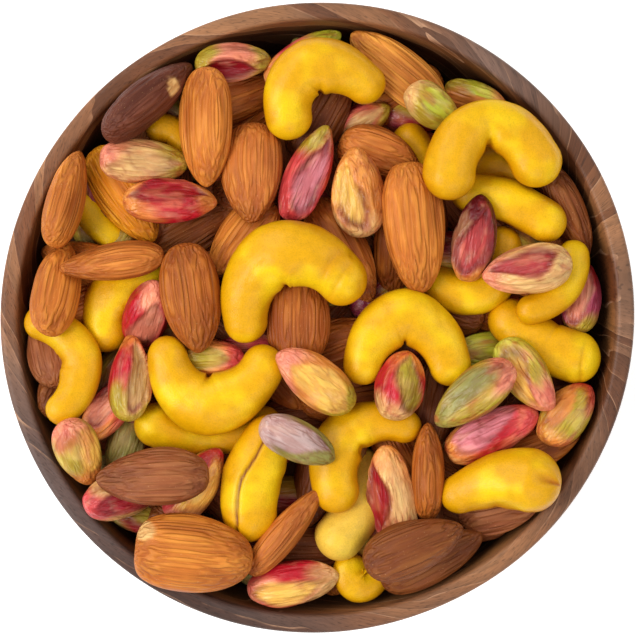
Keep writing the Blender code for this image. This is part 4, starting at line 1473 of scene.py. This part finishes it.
def inner_fill(share: np.ndarray, spine: np.ndarray) -> np.ndarray:
    """How much thicker a cashew is towards its inner side: most beside the notch in its middle.

    It grows with the bend, the middle's distance from the chord over the chord.

    Args:
        share: Share of the middle line's length.
        spine: The middle line, in plan.

    Returns:
        Added thickness at each share, as a share of half the thickness.
    """
    chord = spine[-1] - spine[0]
    offset = spine[len(spine) // 2] - (spine[0] + spine[-1]) / 2
    bend = min(1.0, np.linalg.norm(offset) / np.linalg.norm(chord) / 0.4)
    return CASHEW_FILL * bend * (np.sin(math.pi * share) ** 2 - 0.7 * np.exp(-(((share - 0.5) / 0.11) ** 2)))


def along_spine(spine: np.ndarray, at: np.ndarray) -> tuple[np.ndarray, np.ndarray]:
    """Points and directions at distances along a line, run on straight beyond its ends.

    Args:
        spine: The line's points, in plan.
        at: Distances along it from its first point.

    Returns:
        A point and a unit direction for each distance.
    """
    step = np.linalg.norm(np.diff(spine, axis=0), axis=1)
    run = np.concatenate([[0], np.cumsum(step)])
    forward = np.gradient(spine, run, axis=0)
    inside = np.clip(at, 0, run[-1])
    point = np.stack([np.interp(inside, run, spine[:, axis]) for axis in (0, 1)], axis=1)
    direction = np.stack([np.interp(inside, run, forward[:, axis]) for axis in (0, 1)], axis=1)
    direction /= np.linalg.norm(direction, axis=1)[:, None]
    return point + direction * (at - inside)[:, None], direction


@dataclass
class Settling:
    """Works out the level and slope at which each nut rests on the nuts and the bowl under it."""

    bowl: Bowl
    edge_below_rim: float = 5.0
    crown: float = 5.5
    layer_rise: float = 0.6
    grid_step: float = 1.5
    steps: int = 400
    rate: float = 0.5
    level_spring: float = 0.03
    slope_spring: float = 0.06
    turning_drag: float = 40.0
    steepest: float = 0.4
    clearance: float = 0.75

    def span(self, nut: Resting, points: np.ndarray) -> tuple[np.ndarray, np.ndarray]:
        """Lowest and highest level of a nut, about its middle, over each plan point.

        Args:
            nut: The nut.
            points: Points in plan.

        Returns:
            The lowest and the highest level at each, infinite where the nut doesn't reach.
        """
        away = points[:, None] - (nut.middle + nut.balls[:, :2])[None]
        rise = np.sqrt(np.maximum(nut.balls[:, 3] ** 2 - (away**2).sum(axis=2), 0))
        top = np.where(rise > 0, nut.balls[:, 2] + rise, -np.inf).max(axis=1)
        bottom = np.where(rise > 0, nut.balls[:, 2] - rise, np.inf).min(axis=1)
        return bottom, top

    def contacts(self, nuts: list[Resting]) -> tuple[np.ndarray, np.ndarray, np.ndarray, np.ndarray]:
        """Plan points where one nut lies over another or the bowl, with the rise needed there.

        Args:
            nuts: The nuts that show. The bowl counts as one more, after the last.

        Returns:
            For each contact, which is the upper and which the lower one, the point and the rise.
        """
        side = np.arange(-self.bowl.radius, self.bowl.radius + self.grid_step, self.grid_step)
        points = np.stack(np.meshgrid(side, side), axis=2).reshape(-1, 2)
        ground = self.bowl.upper_level(np.hypot(points[:, 0], points[:, 1]))
        spans = [self.span(nut, points) for nut in nuts]
        upper, lower, where, need = [], [], [], []
        for i, (bottom, _) in enumerate(spans):
            for j in range(len(nuts) + 1):
                if j < len(nuts) and nuts[i].layer <= nuts[j].layer:
                    continue
                below = ground if j == len(nuts) else spans[j][1]
                both = np.flatnonzero(np.isfinite(bottom) & np.isfinite(below))
                upper.append(np.full(len(both), i))
                lower.append(np.full(len(both), j))
                where.append(points[both])
                need.append(below[both] - bottom[both])
        return tuple(np.concatenate(each) for each in (upper, lower, where, need))

    def home(self, middle: np.ndarray, layer: np.ndarray) -> np.ndarray:
        """Level at which a nut would lie in an even mound.

        Args:
            middle: Middle of each nut in plan.
            layer: Layer of each.

        Returns:
            The level of each.
        """
        share = np.hypot(middle[:, 0], middle[:, 1]) / self.bowl.radius
        edge = self.bowl.height - self.edge_below_rim
        return edge + self.crown * (1 - share**2) + self.layer_rise * (layer - 1)

    def levels(self, nuts: list[Resting]) -> tuple[np.ndarray, np.ndarray]:
        """Level and slope of each nut.

        At each step, nuts that press into each other are pushed apart and turned by the mean of
        their overlaps, and all are drawn a little towards an even mound and level.

        Args:
            nuts: The nuts that show.

        Returns:
            Level of each, and its slope along X and Y.
        """
        upper, lower, where, need = self.contacts(nuts)
        count = len(nuts) + 1
        middle = np.array([nut.middle for nut in nuts] + [[0.0, 0.0]])
        home = self.home(middle, np.array([nut.layer for nut in nuts] + [0]))
        home[-1] = 0.0
        level, slope = home.copy(), np.zeros((count, 2))
        from_upper, from_lower = where - middle[upper], where - middle[lower]
        both = np.concatenate([upper, lower])
        arm = np.concatenate([from_upper, from_lower])
        for _ in range(self.steps):
            gap = level[upper] + (slope[upper] * from_upper).sum(axis=1) - need
            gap -= level[lower] + (slope[lower] * from_lower).sum(axis=1)
            push = np.maximum(-gap, 0)
            signed = np.concatenate([push, -push])
            active = np.concatenate([push, push]) > 0
            held = np.bincount(both, active, count) + 1
            level += self.rate * np.bincount(both, signed, count) / held
            reach = np.bincount(both, active * (arm**2).sum(axis=1), count) + self.turning_drag
            for axis in (0, 1):
                slope[:, axis] += self.rate * np.bincount(both, signed * arm[:, axis], count) / reach
            level += self.level_spring * (home - level)
            slope = np.clip(slope * (1 - self.slope_spring), -self.steepest, self.steepest)
            level[-1] = 0.0
            slope[-1] = 0.0
        return level[:-1], slope[:-1]

    def laid(self, nut: Resting, level: float, slope: np.ndarray) -> tuple[Surface, np.ndarray]:
        """The nut's surface and the middles of its balls where it lies, clear of the bowl.

        Args:
            nut: The nut.
            level: Level of its middle.
            slope: Its slope along X and Y.

        Returns:
            The surface, and the middles of the balls.
        """
        lean = leaning(slope).T
        at = np.append(nut.middle, level)
        points, balls = nut.surface.points() @ lean + at, nut.balls[:, :3] @ lean + at
        for _ in range(3):
            move = self.bowl.clearing_move(points, self.clearance)
            points, balls = points + move, balls + move
        return nut.surface.moved(points), balls


@dataclass
class Heap:
    """All the nuts: those that show, those that fill the gaps under them, and the core."""

    bowl: Bowl
    almond: Almond = field(default_factory=Almond)
    pistachio: Pistachio = field(default_factory=Pistachio)
    cashew: Cashew = field(default_factory=Cashew)
    blur: float = 5.0
    filler_count: int = 110
    filler_spread: float = 57.0
    filler_drop: float = 7.5
    core_drop: float = 10.0
    core_below_rim: float = 14.0
    core_gap: float = 1.2
    core_lumps: float = 1.6
    # Painted shade: the core stands for nuts deep in shade and is coloured a dark brown.
    core_shade_colour: str = "#4a2a14"

    def shown(self) -> dict[str, list[Resting]]:
        """The nuts that show, by kind."""
        return {
            "almonds": [self.almond.resting(row, SEED + n) for n, row in enumerate(ALMONDS)],
            "pistachios": [self.pistachio.resting(row, SEED + 50 + n) for n, row in enumerate(PISTACHIOS)],
            "cashews": [self.cashew.resting(row, SEED + 100 + n) for n, row in enumerate(CASHEWS)],
        }

    def blurred_level(self, plan: np.ndarray, spines: np.ndarray) -> np.ndarray:
        """Mean level of the nuts near plan points, weighted by a bell curve of distance.

        Args:
            plan: Points in plan.
            spines: Middles of the balls of every nut laid.

        Returns:
            The level at each point.
        """
        apart = ((plan[..., None, :] - spines[:, :2]) ** 2).sum(axis=-1)
        weight = np.exp(-apart / (2 * self.blur**2)) + 1e-9
        return (weight * spines[:, 2]).sum(axis=-1) / weight.sum(axis=-1)

    def fillers(self, spines: np.ndarray, settling: Settling) -> dict[str, list[Surface]]:
        """Coarser nuts under the shown ones, spread by a sunflower spiral and turned at random.

        Args:
            spines: Middles of the balls of every nut laid.
            settling: What lays a nut clear of the bowl.

        Returns:
            The surfaces where they lie, by kind.
        """
        draw = np.random.default_rng(SEED)
        kinds = {"almonds": Almond(rings=14, sides=16), "pistachios": Pistachio(rings=14, sides=16)}
        found: dict[str, list[Surface]] = {name: [] for name in kinds}
        for n in range(self.filler_count):
            angle = n * GOLDEN_ANGLE
            radius = self.filler_spread * math.sqrt((n + 0.5) / self.filler_count)
            plan = np.array([[radius * math.cos(angle), radius * math.sin(angle)]])
            level = float(self.blurred_level(plan, spines)[0]) - self.filler_drop
            name = "almonds" if n % 5 < 3 else "pistachios"
            if name == "almonds":
                colours, size = (Skin.UMBER, Skin.RUSSET, Skin.CHESTNUT)[n % 3], (22.5, 12.0)
            else:
                colours, size = (Hue.PLUM, Hue.OLIVE, Hue.SAGE, Hue.MAROON), (18.0, 9.5)
            row = Kernel(*plan[0], draw.uniform(0, 360), *size, draw.uniform(-40, 40), 0, -2, colours)
            nut = kinds[name].resting(row, SEED + 200 + n)
            slope = draw.uniform(-0.3, 0.3, 2)
            found[name].append(settling.laid(nut, level, slope)[0])
        return found

    def core(self, spines: np.ndarray) -> Surface:
        """The depth of the heap: it follows the bowl's wall and stays under the loose nuts.

        Args:
            spines: Middles of the balls of every nut laid.

        Returns:
            The closed surface.
        """
        low = self.bowl.floor + 0.4
        z = np.linspace(low, self.bowl.height - self.core_below_rim, 12)
        angle = np.linspace(0, 2 * math.pi, 96, endpoint=False)
        unit = np.stack([np.cos(angle), np.sin(angle)], axis=1)
        wall = (self.bowl.inner_radius(z) - self.core_gap)[:, None]
        wall = wall * self.bowl.roundness(unit[:, 0], unit[:, 1])
        inwards = np.linspace(0.97, 0.04, 24)[:, None] * wall[-1]
        radius = np.concatenate([wall, inwards])
        rings = np.stack([radius * unit[:, 0], radius * unit[:, 1], np.zeros_like(radius)], axis=2)
        rings[: len(z), :, 2] = z[:, None]
        top = rings[len(z) :]
        lumps = self.core_lumps * layered_noise(top * (0.13, 0.13, 0), 2, SEED)
        top[..., 2] = self.blurred_level(top[..., :2], spines) - self.core_drop + lumps
        peak = float(self.blurred_level(np.zeros((1, 2)), spines)[0]) - self.core_drop
        ends = np.array([[0, 0, low], [0, 0, peak]])
        points = np.concatenate([rings.reshape(-1, 3), ends])
        tint = np.broadcast_to(linear(self.core_shade_colour), points.shape)
        return Surface(rings, ends, {"nut_place": points, "tint": tint})

    def build(self) -> list[bpy.types.Object]:
        """The heap as one piece for each kind of nut and one for the core.

        Returns:
            The objects.
        """
        settling = Settling(self.bowl)
        shown = self.shown()
        nuts = [nut for kind in shown.values() for nut in kind]
        level, slope = settling.levels(nuts)
        laid = [settling.laid(*each) for each in zip(nuts, level, slope)]
        spines = np.concatenate([balls for _, balls in laid])
        hidden = self.fillers(spines, settling)
        finishes = {
            "almonds": AlmondSkin("almond skin", (0.45, 0.65), relief_mm=0.22, specular=0.3),
            "pistachios": KernelSkin("pistachio kernel skin", (0.26, 0.46), relief_mm=0.14, specular=0.4),
            "cashews": TurmericGlaze("turmeric cashew glaze", (0.28, 0.44), relief_mm=0.1, specular=0.26),
        }
        made, start = [], 0
        for name, kind in shown.items():
            surfaces = [surface for surface, _ in laid[start : start + len(kind)]] + hidden.get(name, [])
            start += len(kind)
            piece = merged_mesh(name, surfaces)
            piece.data.materials.append(finishes[name].material())
            made.append(piece)
        core = merged_mesh("heap_core", [self.core(spines)])
        shade = ShadedCore("nuts in shade", (0.6, 0.8), relief_mm=0.3, specular=0.2)
        core.data.materials.append(shade.material())
        return made + [core]


@dataclass
class Studio:
    """A pale table, a white world and four broad lamps for soft light, and a camera overhead."""

    # The table's size, the gap under the foot and the heights are in metres.
    table_size: float = 3.0
    table_gap: float = 0.0004
    table_colour: str = "#fbfbfa"
    rim_height: float = 0.05
    camera_above_rim: float = 0.8
    sensor: float = 36.0
    view_width: float = 132.3
    aim: tuple[float, float] = (0.17, -0.12)

    def table(self) -> bpy.types.Object:
        """The table top, just under the bowl's foot.

        Returns:
            The object.
        """
        half = self.table_size / 2
        corners = [(-half, -half, 0), (half, -half, 0), (half, half, 0), (-half, half, 0)]
        mesh = bpy.data.meshes.new("table")
        mesh.from_pydata(corners, [], [(0, 1, 2, 3)])
        made = bpy.data.objects.new("table", mesh)
        made.location.z = -self.table_gap
        bpy.context.scene.collection.objects.link(made)
        finish = bpy.data.materials.new("matt white table")
        finish.use_nodes = True
        shader = finish.node_tree.nodes["Principled BSDF"]
        shader.inputs["Base Color"].default_value = (*linear(self.table_colour), 1)
        shader.inputs["Roughness"].default_value = 0.9
        shader.inputs["Emission Color"].default_value = (1, 1, 1, 1)
        shader.inputs["Emission Strength"].default_value = 0.45
        mesh.materials.append(finish)
        return made

    def lamp(self, name: str, place: Triple, size: float, watts: float) -> None:
        """A square area lamp aimed at the middle of the bowl.

        Args:
            name: Name of the lamp.
            place: Where it hangs, in metres.
            size: Length of its side, in metres.
            watts: Its power.
        """
        data = bpy.data.lights.new(name, "AREA")
        data.size = size
        data.energy = watts
        made = bpy.data.objects.new(name, data)
        made.location = place
        away = np.array(place) / np.linalg.norm(place)
        made.rotation_euler = (math.acos(away[2]), 0, math.atan2(away[1], away[0]) + math.pi / 2)
        bpy.context.scene.collection.objects.link(made)

    def light(self) -> None:
        """Soft light from all round and four broad lamps at the sides, the strongest to the left."""
        world = bpy.data.worlds.new("studio")
        world.use_nodes = True
        background = world.node_tree.nodes["Background"]
        background.inputs["Color"].default_value = (1, 1, 1, 1)
        background.inputs["Strength"].default_value = 0.42
        bpy.context.scene.world = world
        self.lamp("left", (-0.75, -0.15, 0.85), 0.5, 8.2)
        self.lamp("upper_left", (-0.45, 0.7, 0.9), 0.6, 4.6)
        self.lamp("right", (0.8, 0.25, 0.9), 0.6, 2.6)
        self.lamp("lower_right", (0.3, -0.8, 0.9), 0.6, 3.0)

    def camera(self) -> None:
        """A camera straight above, as wide as the bowl's rim."""
        data = bpy.data.cameras.new("overhead_view")
        data.sensor_width = self.sensor
        data.lens = self.sensor * self.camera_above_rim / (self.view_width * MM)
        made = bpy.data.objects.new("overhead_view", data)
        made.location = (self.aim[0] * MM, self.aim[1] * MM, self.rim_height + self.camera_above_rim)
        bpy.context.scene.collection.objects.link(made)
        bpy.context.scene.camera = made


def main() -> None:
    """Load the frame, build every piece round it and note the sizes."""
    logging.basicConfig(level=logging.INFO, format="%(message)s")
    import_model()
    bowl = Bowl()
    dish = bowl.build()
    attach(dish, "root")
    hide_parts("bowl")
    LOG.info("%s: %d faces", dish.name, len(dish.data.polygons))
    for piece in Heap(bowl).build():
        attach(piece, "root")
        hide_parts("nut_heap")
        LOG.info("%s: %d faces", piece.name, len(piece.data.polygons))
    studio = Studio()
    studio.table()
    studio.light()
    studio.camera()
    scene = bpy.context.scene
    scene.view_settings.view_transform = "Standard"


if __name__ == "__main__":
    main()
